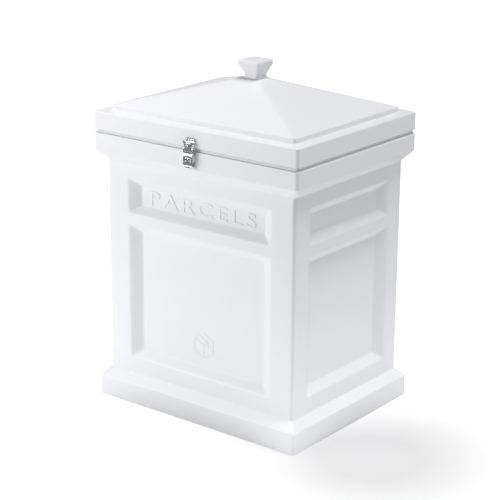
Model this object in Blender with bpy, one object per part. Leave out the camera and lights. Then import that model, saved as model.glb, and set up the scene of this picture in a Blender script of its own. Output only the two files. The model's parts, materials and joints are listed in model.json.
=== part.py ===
# Parcel drop box: a double-walled moulded tub with recessed panels, a hinged hipped lid,
# and a toggle latch whose lever closes over a padlock staple.
# Metres, +Z up. The origin is the centre of the flat base, and the front faces -Y.

import math

import bmesh
import bpy
from mathutils import Matrix, Vector

# Overall plan, and the heights up the front from the ground
OVERALL_WIDTH = 0.6286
OVERALL_DEPTH = 0.498
PLINTH_HEIGHT = 0.0545
PLINTH_SLOPE_RISE = 0.0215
BOTTOM_RAIL = 0.043
LOWER_PANEL_HEIGHT = 0.355
MIDDLE_RAIL = 0.028
UPPER_PANEL_HEIGHT = 0.091
TOP_RAIL = 0.038
CORNICE_SLOPE_RISE = 0.0255
CORNICE_HEIGHT = 0.044
SEAM = 0.0085
LID_RIM_HEIGHT = 0.046
LID_STEP_HEIGHT = 0.013
ROOF_RISE = 0.079

# How far each band stands in from the outer edge of the cornice
PLINTH_INSET = 0.0019
WALL_INSET = 0.023
LID_STEP_INSET = 0.031
ROOF_PAD_SHARE = 0.1

# Moulded skins
SHELL_WALL = 0.004
LINER_WALL = 0.0035
ROOF_WALL = 0.0045
CAVITY = 0.003
CORNER_RADIUS = 0.008
INNER_CORNER_RADIUS = 0.005
CORNER_STEPS = 4
CLEARANCE = 0.0003

# Recessed panels: plain frames round a bevelled hollow
FRONT_STILE = 0.069
SIDE_STILE = 0.058
PANEL_DEPTH = 0.0185
PANEL_BEVEL_ACROSS = 0.030
PANEL_BEVEL_UP = 0.0205

# Liner, its flange under the lid, and the ribs that keep a parcel off a wet floor
FLANGE_INSET = 0.004
FLANGE_THICKNESS = 0.0072
SHELF_SIDE_GAP = 0.0005
FLOOR_RIB_COUNT = 5
FLOOR_RIB_WIDTH = 0.016
FLOOR_RIB_HEIGHT = 0.004
FLOOR_RIB_END_GAP = 0.035

# Lid underside, which plugs into the mouth of the liner
LID_LINER_WALL = 0.0035
PLUG_DEPTH = 0.012
PLUG_SIDE_GAP = 0.003

# Square knob with its bolt and washer
KNOB_FOOT_HALF = 0.0235
KNOB_FOOT_HEIGHT = 0.0025
KNOB_NECK_HALF = 0.0205
KNOB_TOP_HALF = 0.0326
KNOB_NECK_HEIGHT = 0.010
KNOB_FLARE_HEIGHT = 0.034
KNOB_HEIGHT = 0.0455
KNOB_CORNER_RADIUS = 0.0045
KNOB_HOLE_DEPTH = 0.030
BOLT_RADIUS = 0.003
BOLT_HEAD_RADIUS = 0.0055
BOLT_HEAD_HEIGHT = 0.004
BOLT_GRIP = 0.026
WASHER_RADIUS = 0.011
WASHER_THICKNESS = 0.0016

# Butt hinges on the back face
HINGE_SPACING = 0.34
HINGE_WIDTH = 0.076
HINGE_CENTRE_KNUCKLE = 0.026
HINGE_LEAF_HEIGHT = 0.0365
LEAF_THICKNESS = 0.002
BARREL_RADIUS = 0.0045
HINGE_PIN_RADIUS = 0.0022
PIN_HEAD_RADIUS = 0.0036
PIN_HEAD_HEIGHT = 0.0012
LEAF_NOTCH = 0.005
LID_OPENING_DEGREES = 100
STOP_LUG_WIDTH = 0.012
STOP_LUG_REACH = 0.0132
STOP_LUG_DROP = 0.014
LEAF_SCREW_SPREAD = 0.026
LEAF_SCREW_NEAR = 0.018
LEAF_SCREW_FAR = 0.030

# Screws
SCREW_RADIUS = 0.0015
SCREW_HOLE_RADIUS = 0.0018
SCREW_HEAD_RADIUS = 0.0032
SCREW_HEAD_HEIGHT = 0.0015
SCREW_LENGTH = 0.012

# Toggle latch. Depths are measured forward from the front face of the rim.
METAL = 0.0014
LATCH_PLATE = 0.0015
LATCH_BASE_HALF = 0.0142
LATCH_BASE_HEIGHT = 0.034
LATCH_BASE_TOP_GAP = 0.002
LATCH_EAR_INNER_HALF = 0.0111
LATCH_EAR_RADIUS = 0.004
LATCH_EAR_ROOT_DEPTH = 0.0046
LATCH_EAR_DROP = 0.0165
LATCH_PIVOT_RISE = 0.0075
LATCH_PIVOT_DEPTH = 0.0075
LATCH_PIN_RADIUS = 0.0014
LATCH_SCREW_SPREAD = 0.0075
LATCH_SCREW_LOW = 0.0047
LATCH_SCREW_HIGH = 0.0284

LEVER_HALF = 0.0145
LEVER_FLANGE_INNER_HALF = 0.0128
LEVER_FLANGE_BOSS = 0.0039
LEVER_FLANGE_BACK_DEPTH = 0.003
LEVER_FLANGE_DROP = 0.0335
LEVER_PLATE_DEPTH = 0.0115
LEVER_PLATE_THICKNESS = 0.0013
LEVER_TOP_DROP = 0.0115
LEVER_BOTTOM_DROP = 0.0425
LEVER_ROUND_HEIGHT = 0.0125
LEVER_LIP_DEPTH = 0.0156
LEVER_LIP_HEIGHT = 0.004
LEVER_WINDOW_HALF = 0.0110
LEVER_WINDOW_TOP_DROP = 0.0140
LEVER_WINDOW_BOTTOM_DROP = 0.0303
LEVER_WINDOW_ARCH = 0.0108

CLAW_PIN_DROP = 0.0075
CLAW_PIN_DEPTH = 0.0085
CLAW_PIN_RADIUS = 0.0013
CLAW_KNUCKLE_RADIUS = 0.0026
CLAW_NECK_HALF = 0.0108
CLAW_HALF = 0.0125
CLAW_WING_HALF = 0.0162
CLAW_WING_HEIGHT = 0.0085
CLAW_WING_EDGE = 0.0040
CLAW_PLATE_BACK_DEPTH = 0.0098
CLAW_PLATE_THICKNESS = 0.0012
CLAW_SHOULDER_RISE = 0.0055
CLAW_WINDOW_HALF = 0.0078
CLAW_WINDOW_BOTTOM_RISE = 0.0055
CLAW_CROSSBAR = 0.0040
CLAW_CURL_DEPTH = 0.0022

KEEPER_TONGUE_HALF = 0.0102
KEEPER_EAR_HALF = 0.0152
KEEPER_BOTTOM_RISE = 0.0030
KEEPER_EAR_RISE = 0.0160
KEEPER_TOP_RISE = 0.0255
KEEPER_NOSE_HALF = 0.0068
KEEPER_NOSE_RISE = 0.0140
KEEPER_NOSE_ROOT = 0.0050
KEEPER_NOSE_TIP = 0.0030
KEEPER_NOSE_DEPTH = 0.0126
KEEPER_LIP = 0.0003
KEEPER_LIP_LENGTH = 0.0008
CLAW_REST_GAP = 0.0007
KEEPER_SCREW_SPREAD = 0.0106
KEEPER_SCREW_RISE = 0.02075

STAPLE_THICKNESS = 0.003
STAPLE_DROP = 0.0212
STAPLE_EYE_DEPTH = 0.0156
STAPLE_EYE_RADIUS = 0.0031
STAPLE_NOSE_RADIUS = 0.0049
STAPLE_TENON_HEIGHT = 0.007
STAPLE_TENON_DEPTH = 0.0006

# Heights worked out from the bands above
PLINTH_SLOPE_TOP = PLINTH_HEIGHT + PLINTH_SLOPE_RISE
LOWER_PANEL_BOTTOM = PLINTH_SLOPE_TOP + BOTTOM_RAIL
LOWER_PANEL_TOP = LOWER_PANEL_BOTTOM + LOWER_PANEL_HEIGHT
UPPER_PANEL_BOTTOM = LOWER_PANEL_TOP + MIDDLE_RAIL
UPPER_PANEL_TOP = UPPER_PANEL_BOTTOM + UPPER_PANEL_HEIGHT
WALL_TOP = UPPER_PANEL_TOP + TOP_RAIL
CORNICE_BOTTOM = WALL_TOP + CORNICE_SLOPE_RISE
CORNICE_TOP = CORNICE_BOTTOM + CORNICE_HEIGHT
LID_BOTTOM = CORNICE_TOP + SEAM
LID_RIM_TOP = LID_BOTTOM + LID_RIM_HEIGHT
ROOF_FOOT = LID_RIM_TOP + LID_STEP_HEIGHT
ROOF_PAD_TOP = ROOF_FOOT + ROOF_RISE * (1 - ROOF_PAD_SHARE)

# Plan half sizes
RIM_HALF = Vector((OVERALL_WIDTH / 2, OVERALL_DEPTH / 2))
LINER_OUTER_INSET = WALL_INSET + PANEL_DEPTH + SHELL_WALL + CAVITY
LINER_INNER_INSET = LINER_OUTER_INSET + LINER_WALL
SHELF_EDGE_INSET = LINER_OUTER_INSET - SHELF_SIDE_GAP
PLUG_INSET = LINER_INNER_INSET + PLUG_SIDE_GAP

# Stacked heights of what sits in the mouth
FLANGE_BOTTOM = CORNICE_TOP + CLEARANCE
FLANGE_TOP = FLANGE_BOTTOM + FLANGE_THICKNESS
LID_LINER_BOTTOM = FLANGE_TOP + CLEARANCE
LINER_FLOOR_TOP = SHELL_WALL + CLEARANCE + LINER_WALL

# Axes of the moving pieces
HINGE_DEPTH = CLEARANCE + BARREL_RADIUS
HINGE_AXIS_Y = RIM_HALF.y + HINGE_DEPTH
HINGE_AXIS_Z = CORNICE_TOP + SEAM / 2
LATCH_PIVOT_Z = CORNICE_TOP + LATCH_PIVOT_RISE
CLAW_PIN_Z = LATCH_PIVOT_Z - CLAW_PIN_DROP
LATCH_BASE_TOP = CORNICE_TOP - LATCH_BASE_TOP_GAP
STAPLE_Z = LATCH_PIVOT_Z - STAPLE_DROP
NOSE_TOP = LATCH_PIVOT_Z + KEEPER_NOSE_RISE
CROSSBAR_BOTTOM = NOSE_TOP + CLAW_REST_GAP

WHITE = (0.86, 0.87, 0.90)
LINER_WHITE = (0.80, 0.81, 0.83)
CHROME = (0.80, 0.81, 0.83)
STEEL = (0.56, 0.57, 0.58)


# ---------------------------------------------------------------- helpers

def clear_scene():
    for item in list(bpy.data.objects):
        bpy.data.objects.remove(item, do_unlink=True)


def material(name, colour, roughness, metallic):
    made = bpy.data.materials.new(name)
    made.use_nodes = True
    shader = made.node_tree.nodes["Principled BSDF"]
    shader.inputs["Base Color"].default_value = (*colour, 1)
    shader.inputs["Roughness"].default_value = roughness
    shader.inputs["Metallic"].default_value = metallic
    return made


def object_from(name, mesh_builder):
    bmesh.ops.remove_doubles(mesh_builder, verts=mesh_builder.verts, dist=1e-6)
    bmesh.ops.recalc_face_normals(mesh_builder, faces=mesh_builder.faces)
    mesh = bpy.data.meshes.new(name)
    mesh_builder.to_mesh(mesh)
    mesh_builder.free()
    item = bpy.data.objects.new(name, mesh)
    bpy.context.scene.collection.objects.link(item)
    return item


def finish(item, colour, roughness, metallic):
    item.data.materials.clear()
    item.data.materials.append(material(item.name + "_finish", colour, roughness, metallic))
    return item


def combine(target, operation, tool):
    """Boolean the hidden tool object with the target."""
    tool.hide_render = True
    tool.display_type = "WIRE"
    step = target.modifiers.new(operation.title() + " " + tool.name, "BOOLEAN")
    step.operation = operation
    step.object = tool
    step.solver = "EXACT"


def plan_ring(half_x, half_y, radius, z):
    """Rounded rectangle, anticlockwise from the +X +Y corner."""
    points = []
    for quarter, (sign_x, sign_y) in enumerate(((1, 1), (-1, 1), (-1, -1), (1, -1))):
        centre = Vector((sign_x * (half_x - radius), sign_y * (half_y - radius), z))
        for step in range(CORNER_STEPS + 1):
            angle = (quarter + step / CORNER_STEPS) * math.pi / 2
            points.append(centre + radius * Vector((math.cos(angle), math.sin(angle), 0)))
    return points


def band(inset, z, radius=CORNER_RADIUS):
    return plan_ring(RIM_HALF.x - inset, RIM_HALF.y - inset, radius, z)


def add_stack(builder, rings):
    """Joins each ring to the next, and caps the two ends."""
    loops = [[builder.verts.new(point) for point in ring] for ring in rings]
    for lower, upper in zip(loops, loops[1:]):
        count = len(lower)
        for index in range(count):
            after = (index + 1) % count
            builder.faces.new((lower[index], lower[after], upper[after], upper[index]))
    builder.faces.new(loops[0])
    builder.faces.new(loops[-1])


def stack(name, rings):
    builder = bmesh.new()
    add_stack(builder, rings)
    return object_from(name, builder)


def prism(name, outline, place, low, high):
    """Extrudes a flat outline; place(u, v, w) gives the point in space."""
    builder = bmesh.new()
    add_stack(builder, [[place(u, v, w) for u, v in outline] for w in (low, high)])
    return object_from(name, builder)


def prisms(name, outline, place, spans):
    builder = bmesh.new()
    for low, high in spans:
        add_stack(builder, [[place(u, v, w) for u, v in outline] for w in (low, high)])
    return object_from(name, builder)


def front_place(x, z, depth):
    return Vector((x, -RIM_HALF.y - depth, z))


def front_side_place(depth, z, x):
    return Vector((x, -RIM_HALF.y - depth, z))


def back_place(x, z, depth):
    return Vector((x, RIM_HALF.y + depth, z))


def hinge_side_place(along, up, x):
    return Vector((x, HINGE_AXIS_Y + along, HINGE_AXIS_Z + up))


def arc(centre, radius, start, end, steps):
    """Points on an arc; the angles are in degrees."""
    points = []
    for step in range(steps + 1):
        angle = math.radians(start + (end - start) * step / steps)
        points.append((centre[0] + radius * math.cos(angle), centre[1] + radius * math.sin(angle)))
    return points


def circle(centre, radius, sides=16):
    return arc(centre, radius, 0, 360 - 360 / sides, sides - 1)


def rectangle(low, high):
    return [(low[0], low[1]), (high[0], low[1]), (high[0], high[1]), (low[0], high[1])]


def rounded_rectangle(low, high, radius, steps=3):
    corners = (
        ((high[0] - radius, low[1] + radius), -90),
        ((high[0] - radius, high[1] - radius), 0),
        ((low[0] + radius, high[1] - radius), 90),
        ((low[0] + radius, low[1] + radius), 180),
    )
    points = []
    for centre, start in corners:
        points += arc(centre, radius, start, start + 90, steps)
    return points


def turned(name, profile, base, direction, sides=16):
    """Spins (radius, distance) points round a line; the end points have radius 0."""
    turn = direction.to_track_quat("Z", "Y").to_matrix()
    builder = bmesh.new()
    rings = []
    for radius, along in profile[1:-1]:
        rings.append([
            base + turn @ Vector((radius * math.cos(angle), radius * math.sin(angle), along))
            for angle in (2 * math.pi * side / sides for side in range(sides))
        ])
    add_stack(builder, rings)
    return object_from(name, builder)


def screw(name, base, direction):
    """Pan-head screw. base is where the head's underside sits, direction points out of the work."""
    profile = [
        (0, -SCREW_LENGTH),
        (0.0004, -SCREW_LENGTH),
        (SCREW_RADIUS, -SCREW_LENGTH + 0.0025),
        (SCREW_RADIUS, 0),
        (SCREW_HEAD_RADIUS, 0),
        (SCREW_HEAD_RADIUS, SCREW_HEAD_HEIGHT * 0.5),
        (SCREW_HEAD_RADIUS * 0.72, SCREW_HEAD_HEIGHT),
        (0, SCREW_HEAD_HEIGHT),
    ]
    return finish(turned(name, profile, base, direction, sides=12), STEEL, 0.3, 1)


def holes(name, places, direction, radius, low, high, sides=16):
    """Round cutters on the given points, from low to high along direction."""
    turn = direction.to_track_quat("Z", "Y").to_matrix()
    builder = bmesh.new()
    for place in places:
        add_stack(builder, [
            [place + turn @ Vector((u, v, along)) for u, v in circle((0, 0), radius, sides)]
            for along in (low, high)
        ])
    return object_from(name, builder)


def slope_shift(run, rise, wall):
    """How far the inner corner of a sloping skin moves up or down from the outer corner."""
    return wall * math.tan(math.atan2(run, rise) / 2)


# ---------------------------------------------------------------- screw places

def hinge_centres():
    return [-HINGE_SPACING / 2, HINGE_SPACING / 2]


def leaf_screw_places(centre, upward):
    """Three screws in a triangle; upward is 1 for the lid leaf and -1 for the body leaf."""
    rises = (
        (-LEAF_SCREW_SPREAD, LEAF_SCREW_NEAR),
        (0, LEAF_SCREW_FAR),
        (LEAF_SCREW_SPREAD, LEAF_SCREW_NEAR),
    )
    return [back_place(centre + across, HINGE_AXIS_Z + upward * rise, 0) for across, rise in rises]


def latch_base_screw_places():
    bottom = LATCH_BASE_TOP - LATCH_BASE_HEIGHT
    return [
        front_place(side * LATCH_SCREW_SPREAD, bottom + rise, 0)
        for rise in (LATCH_SCREW_LOW, LATCH_SCREW_HIGH)
        for side in (-1, 1)
    ]


def keeper_screw_places():
    height = LATCH_PIVOT_Z + KEEPER_SCREW_RISE
    return [front_place(side * KEEPER_SCREW_SPREAD, height, 0) for side in (-1, 1)]


# ---------------------------------------------------------------- body

def panel_frustums(name, grow, start, end):
    """One tapered block for each recess on the four walls, from depth start to depth end."""
    wall_half = RIM_HALF - Vector((WALL_INSET, WALL_INSET))
    rows = ((LOWER_PANEL_BOTTOM, LOWER_PANEL_TOP), (UPPER_PANEL_BOTTOM, UPPER_PANEL_TOP))
    builder = bmesh.new()
    for turn_index in range(4):
        turn = Matrix.Rotation(turn_index * math.pi / 2, 3, "Z")
        on_front = turn_index % 2 == 0
        half = wall_half.x - FRONT_STILE if on_front else wall_half.y - SIDE_STILE
        face = wall_half.y if on_front else wall_half.x
        for bottom, top in rows:
            rings = []
            for depth in (start, end):
                share = (depth - grow) / PANEL_DEPTH
                across = half + grow - PANEL_BEVEL_ACROSS * share
                up = PANEL_BEVEL_UP * share - grow
                outline = rectangle((-across, bottom + up), (across, top - up))
                rings.append([turn @ Vector((u, -face + depth, v)) for u, v in outline])
            add_stack(builder, rings)
    return object_from(name, builder)


def body_shell():
    plinth = slope_shift(WALL_INSET - PLINTH_INSET, PLINTH_SLOPE_RISE, SHELL_WALL)
    cornice = slope_shift(WALL_INSET, CORNICE_SLOPE_RISE, SHELL_WALL)
    inner = INNER_CORNER_RADIUS
    rings = [
        band(PLINTH_INSET + SHELL_WALL, SHELL_WALL, inner),
        band(PLINTH_INSET + SHELL_WALL, PLINTH_HEIGHT - plinth, inner),
        band(WALL_INSET + SHELL_WALL, PLINTH_SLOPE_TOP - plinth, inner),
        band(WALL_INSET + SHELL_WALL, WALL_TOP + cornice, inner),
        band(SHELL_WALL, CORNICE_BOTTOM + cornice, inner),
        band(SHELL_WALL, CORNICE_TOP - SHELL_WALL, inner),
        band(SHELF_EDGE_INSET, CORNICE_TOP - SHELL_WALL, inner),
        band(SHELF_EDGE_INSET, CORNICE_TOP, inner),
        band(0, CORNICE_TOP),
        band(0, CORNICE_BOTTOM),
        band(WALL_INSET, WALL_TOP),
        band(WALL_INSET, PLINTH_SLOPE_TOP),
        band(PLINTH_INSET, PLINTH_HEIGHT),
        band(PLINTH_INSET, 0),
    ]
    shell = stack("body_shell", rings)
    combine(shell, "UNION", panel_frustums(
        "panel_backs", SHELL_WALL, SHELL_WALL / 2, PANEL_DEPTH + SHELL_WALL))
    combine(shell, "DIFFERENCE", panel_frustums(
        "panel_hollows", 0, -PANEL_DEPTH / 2, PANEL_DEPTH))
    back = [place for centre in hinge_centres() for place in leaf_screw_places(centre, -1)]
    combine(shell, "DIFFERENCE", holes(
        "body_back_pilots", back, Vector((0, 1, 0)), SCREW_HOLE_RADIUS, -0.010, 0.002))
    combine(shell, "DIFFERENCE", holes(
        "body_front_pilots", latch_base_screw_places(), Vector((0, -1, 0)),
        SCREW_HOLE_RADIUS, -0.010, 0.002))
    return finish(shell, WHITE, 0.5, 0)


def floor_ribs():
    inner_half = RIM_HALF - Vector((LINER_INNER_INSET, LINER_INNER_INSET))
    pitch = 2 * inner_half.x / (FLOOR_RIB_COUNT + 1)
    reach = inner_half.y - FLOOR_RIB_END_GAP
    builder = bmesh.new()
    for index in range(FLOOR_RIB_COUNT):
        centre = -inner_half.x + pitch * (index + 1)
        outline = rounded_rectangle(
            (centre - FLOOR_RIB_WIDTH / 2, -reach), (centre + FLOOR_RIB_WIDTH / 2, reach), 0.006)
        add_stack(builder, [
            [Vector((u, v, z)) for u, v in outline]
            for z in (LINER_FLOOR_TOP - LINER_WALL / 2, LINER_FLOOR_TOP + FLOOR_RIB_HEIGHT)
        ])
    return object_from("floor_ribs", builder)


def body_liner():
    inner = INNER_CORNER_RADIUS
    rings = [
        band(LINER_INNER_INSET, LINER_FLOOR_TOP, inner),
        band(LINER_INNER_INSET, FLANGE_TOP, inner),
        band(FLANGE_INSET, FLANGE_TOP, inner),
        band(FLANGE_INSET, FLANGE_BOTTOM, inner),
        band(LINER_OUTER_INSET, FLANGE_BOTTOM, inner),
        band(LINER_OUTER_INSET, LINER_FLOOR_TOP - LINER_WALL, inner),
    ]
    liner = stack("body_liner", rings)
    combine(liner, "UNION", floor_ribs())
    return finish(liner, LINER_WHITE, 0.55, 0)


# ---------------------------------------------------------------- lid

def roof_ring(share, z, inset, radius):
    half = RIM_HALF - Vector((LID_STEP_INSET, LID_STEP_INSET))
    return plan_ring(half.x * share - inset, half.y * share - inset, radius, z)


def lid_shell():
    inner = INNER_CORNER_RADIUS
    pad_radius = 0.003
    rings = [
        roof_ring(ROOF_PAD_SHARE, ROOF_PAD_TOP - ROOF_WALL, 0.001, pad_radius),
        roof_ring(1, ROOF_FOOT - ROOF_WALL * 0.8, SHELL_WALL, inner),
        roof_ring(1, LID_RIM_TOP - SHELL_WALL, SHELL_WALL, inner),
        band(SHELL_WALL, LID_RIM_TOP - SHELL_WALL, inner),
        band(SHELL_WALL, LID_BOTTOM, inner),
        band(0, LID_BOTTOM),
        band(0, LID_RIM_TOP),
        roof_ring(1, LID_RIM_TOP, 0, CORNER_RADIUS),
        roof_ring(1, ROOF_FOOT, 0, CORNER_RADIUS),
        roof_ring(ROOF_PAD_SHARE, ROOF_PAD_TOP, 0, pad_radius),
    ]
    shell = stack("lid_shell", rings)
    back = [place for centre in hinge_centres() for place in leaf_screw_places(centre, 1)]
    combine(shell, "DIFFERENCE", holes(
        "lid_back_pilots", back, Vector((0, 1, 0)), SCREW_HOLE_RADIUS, -0.010, 0.002))
    combine(shell, "DIFFERENCE", holes(
        "lid_front_pilots", keeper_screw_places(), Vector((0, -1, 0)),
        SCREW_HOLE_RADIUS, -0.010, 0.002))
    combine(shell, "DIFFERENCE", holes(
        "knob_bolt_hole", [Vector((0, 0, ROOF_PAD_TOP))], Vector((0, 0, 1)),
        BOLT_RADIUS + CLEARANCE, -0.010, 0.002))
    return finish(shell, WHITE, 0.5, 0)


def lid_liner():
    inner = INNER_CORNER_RADIUS
    edge = SHELL_WALL + CLEARANCE
    flange_top = LID_LINER_BOTTOM + LID_LINER_WALL
    plug_bottom = LID_LINER_BOTTOM - PLUG_DEPTH
    rings = [
        band(PLUG_INSET + LID_LINER_WALL, plug_bottom + LID_LINER_WALL, inner),
        band(PLUG_INSET + LID_LINER_WALL, flange_top, inner),
        band(edge, flange_top, inner),
        band(edge, LID_LINER_BOTTOM, inner),
        band(PLUG_INSET, LID_LINER_BOTTOM, inner),
        band(PLUG_INSET, plug_bottom, inner),
    ]
    return finish(stack("lid_liner", rings), LINER_WHITE, 0.55, 0)


def knob():
    foot = ROOF_PAD_TOP + CLEARANCE
    levels = (
        (KNOB_FOOT_HALF, 0),
        (KNOB_FOOT_HALF, KNOB_FOOT_HEIGHT * 0.4),
        (KNOB_NECK_HALF + 0.0008, KNOB_FOOT_HEIGHT),
        (KNOB_NECK_HALF, KNOB_NECK_HEIGHT),
        (KNOB_TOP_HALF - 0.0005, KNOB_FLARE_HEIGHT),
        (KNOB_TOP_HALF, KNOB_FLARE_HEIGHT + 0.004),
        (KNOB_TOP_HALF, KNOB_HEIGHT - 0.003),
        (KNOB_TOP_HALF - 0.003, KNOB_HEIGHT),
    )
    rings = [plan_ring(half, half, KNOB_CORNER_RADIUS, foot + rise) for half, rise in levels]
    made = stack("lid_knob", rings)
    combine(made, "DIFFERENCE", holes(
        "knob_blind_hole", [Vector((0, 0, foot))], Vector((0, 0, 1)),
        BOLT_RADIUS + CLEARANCE, -0.002, KNOB_HOLE_DEPTH))
    return finish(made, WHITE, 0.5, 0)


def knob_fixing():
    up = Vector((0, 0, 1))
    washer_top = ROOF_PAD_TOP - ROOF_WALL - CLEARANCE
    washer_bottom = washer_top - WASHER_THICKNESS
    bolt_seat = Vector((0, 0, washer_bottom - CLEARANCE))
    washer = turned("knob_washer", [
        (0, 0),
        (WASHER_RADIUS, 0),
        (WASHER_RADIUS, WASHER_THICKNESS),
        (0, WASHER_THICKNESS),
    ], Vector((0, 0, washer_bottom)), up, sides=24)
    combine(washer, "DIFFERENCE", holes(
        "washer_hole", [Vector((0, 0, washer_bottom))], up,
        BOLT_RADIUS + CLEARANCE, -0.002, WASHER_THICKNESS + 0.002))
    finish(washer, STEEL, 0.35, 1)
    head = prism(
        "knob_bolt", circle((0, 0), BOLT_HEAD_RADIUS, 6),
        lambda u, v, w: bolt_seat + Vector((u, v, w)), -BOLT_HEAD_HEIGHT, 0)
    combine(head, "UNION", holes(
        "bolt_shank", [bolt_seat], up, BOLT_RADIUS, -BOLT_HEAD_HEIGHT / 2, BOLT_GRIP))
    finish(head, STEEL, 0.35, 1)


# ---------------------------------------------------------------- hinges

def hinge_leaf(name, centre, upward):
    """upward is 1 for the lid leaf, with the two end knuckles, and -1 for the body leaf."""
    half = HINGE_WIDTH / 2
    centre_half = HINGE_CENTRE_KNUCKLE / 2
    if upward > 0:
        spans = [(-half, -centre_half - CLEARANCE), (centre_half + CLEARANCE, half)]
    else:
        spans = [(-centre_half, centre_half)]
    near = HINGE_AXIS_Z + upward * LEAF_NOTCH
    far = near + upward * HINGE_LEAF_HEIGHT
    outline = rounded_rectangle(
        (centre - half, min(near, far)), (centre + half, max(near, far)), 0.003)
    leaf = prism(name, outline, back_place, CLEARANCE, CLEARANCE + LEAF_THICKNESS)
    tab = rectangle((-BARREL_RADIUS, 0), (-BARREL_RADIUS + LEAF_THICKNESS, upward * LEAF_NOTCH * 1.6))
    placed = [(centre + low, centre + high) for low, high in spans]
    combine(leaf, "UNION", prisms(name + "_tabs", tab, hinge_side_place, placed))
    barrel = circle((0, 0), BARREL_RADIUS, 20)
    combine(leaf, "UNION", prisms(name + "_knuckles", barrel, hinge_side_place, placed))
    if upward < 0:
        combine(leaf, "UNION", stop_lug(name + "_lug", centre))
    pin_hole = circle((0, 0), HINGE_PIN_RADIUS + CLEARANCE)
    combine(leaf, "DIFFERENCE", prisms(
        name + "_bore", pin_hole, hinge_side_place, [(centre - half - 0.002, centre + half + 0.002)]))
    combine(leaf, "DIFFERENCE", holes(
        name + "_screw_holes", leaf_screw_places(centre, upward), Vector((0, 1, 0)),
        SCREW_HOLE_RADIUS, -0.002, 0.006))
    return finish(leaf, STEEL, 0.3, 1)


def stop_lug(name, centre):
    """A lug on the body leaf that the lid leaf lands on when the lid is fully open."""
    turned_by = math.radians(LID_OPENING_DEGREES)
    along = Vector((math.sin(turned_by), math.cos(turned_by)))
    normal = Vector((-math.cos(turned_by), math.sin(turned_by)))
    face = normal * (BARREL_RADIUS - LEAF_THICKNESS - CLEARANCE)
    inner = along * (BARREL_RADIUS * 1.15) + face
    outer = along * STOP_LUG_REACH + face
    outline = [
        (-BARREL_RADIUS + LEAF_THICKNESS / 2, -STOP_LUG_DROP),
        (outer.x - 0.0008, outer.y - 0.0033),
        (outer.x, outer.y),
        (inner.x, inner.y),
        (BARREL_RADIUS * 0.2, -BARREL_RADIUS * 0.2),
        (-BARREL_RADIUS + LEAF_THICKNESS / 2, -BARREL_RADIUS * 0.9),
    ]
    half = STOP_LUG_WIDTH / 2
    return prism(name, outline, hinge_side_place, centre - half, centre + half)


def cross_pin(name, middle, radius, half_length, head_radius, head_height):
    """A pin along X with a flat head at both ends."""
    profile = [
        (0, -half_length - head_height),
        (head_radius * 0.8, -half_length - head_height),
        (head_radius, -half_length - head_height / 2),
        (head_radius, -half_length),
        (radius, -half_length),
        (radius, half_length),
        (head_radius, half_length),
        (head_radius, half_length + head_height / 2),
        (head_radius * 0.8, half_length + head_height),
        (0, half_length + head_height),
    ]
    return finish(turned(name, profile, middle, Vector((1, 0, 0))), STEEL, 0.3, 1)


def hinges():
    seat = CLEARANCE + LEAF_THICKNESS + CLEARANCE
    for side, centre in zip(("left", "right"), hinge_centres()):
        hinge_leaf("hinge_leaf_body_" + side, centre, -1)
        hinge_leaf("hinge_leaf_lid_" + side, centre, 1)
        cross_pin(
            "hinge_pin_" + side, hinge_side_place(0, 0, centre), HINGE_PIN_RADIUS,
            HINGE_WIDTH / 2 + CLEARANCE, PIN_HEAD_RADIUS, PIN_HEAD_HEIGHT)
        for part, upward in (("body", -1), ("lid", 1)):
            for index, place in enumerate(leaf_screw_places(centre, upward), start=1):
                name = "hinge_screw_%s_%s_%d" % (part, side, index)
                screw(name, place + Vector((0, seat, 0)), Vector((0, 1, 0)))


# ---------------------------------------------------------------- latch

def latch_base():
    bottom = LATCH_BASE_TOP - LATCH_BASE_HEIGHT
    outline = rounded_rectangle(
        (-LATCH_BASE_HALF, bottom), (LATCH_BASE_HALF, LATCH_BASE_TOP), 0.003)
    back = CLEARANCE
    front = CLEARANCE + LATCH_PLATE
    base = prism("latch_base", outline, front_place, back, front)
    pivot = (LATCH_PIVOT_DEPTH, LATCH_PIVOT_Z)
    ear = [
        (back + LATCH_PLATE / 2, LATCH_PIVOT_Z - LATCH_EAR_DROP),
        (LATCH_EAR_ROOT_DEPTH, LATCH_PIVOT_Z - LATCH_EAR_DROP),
        (LATCH_EAR_ROOT_DEPTH, LATCH_PIVOT_Z - LATCH_EAR_RADIUS),
    ]
    ear += arc(pivot, LATCH_EAR_RADIUS, -90, 90, 10)
    ear += [
        (front + 0.0005, LATCH_PIVOT_Z + LATCH_EAR_RADIUS),
        (front + 0.0005, LATCH_BASE_TOP - 0.001),
        (back + LATCH_PLATE / 2, LATCH_BASE_TOP - 0.001),
    ]
    outer = LATCH_EAR_INNER_HALF + METAL
    spans = [(-outer, -LATCH_EAR_INNER_HALF), (LATCH_EAR_INNER_HALF, outer)]
    combine(base, "DIFFERENCE", holes(
        "latch_base_screw_holes", latch_base_screw_places(), Vector((0, -1, 0)),
        SCREW_HOLE_RADIUS, -0.002, 0.006))
    slot_half = STAPLE_THICKNESS / 2 + CLEARANCE
    slot_rise = STAPLE_TENON_HEIGHT / 2 + CLEARANCE
    slot = rectangle((-slot_half, STAPLE_Z - slot_rise), (slot_half, STAPLE_Z + slot_rise))
    combine(base, "DIFFERENCE", prism("staple_slot", slot, front_place, -0.001, front + 0.001))
    combine(base, "UNION", prisms("latch_ears", ear, front_side_place, spans))
    combine(base, "DIFFERENCE", prisms(
        "latch_pivot_bore", circle(pivot, LATCH_PIN_RADIUS + CLEARANCE), front_side_place,
        [(-LEVER_HALF, LEVER_HALF)]))
    return finish(base, CHROME, 0.12, 1)


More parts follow.
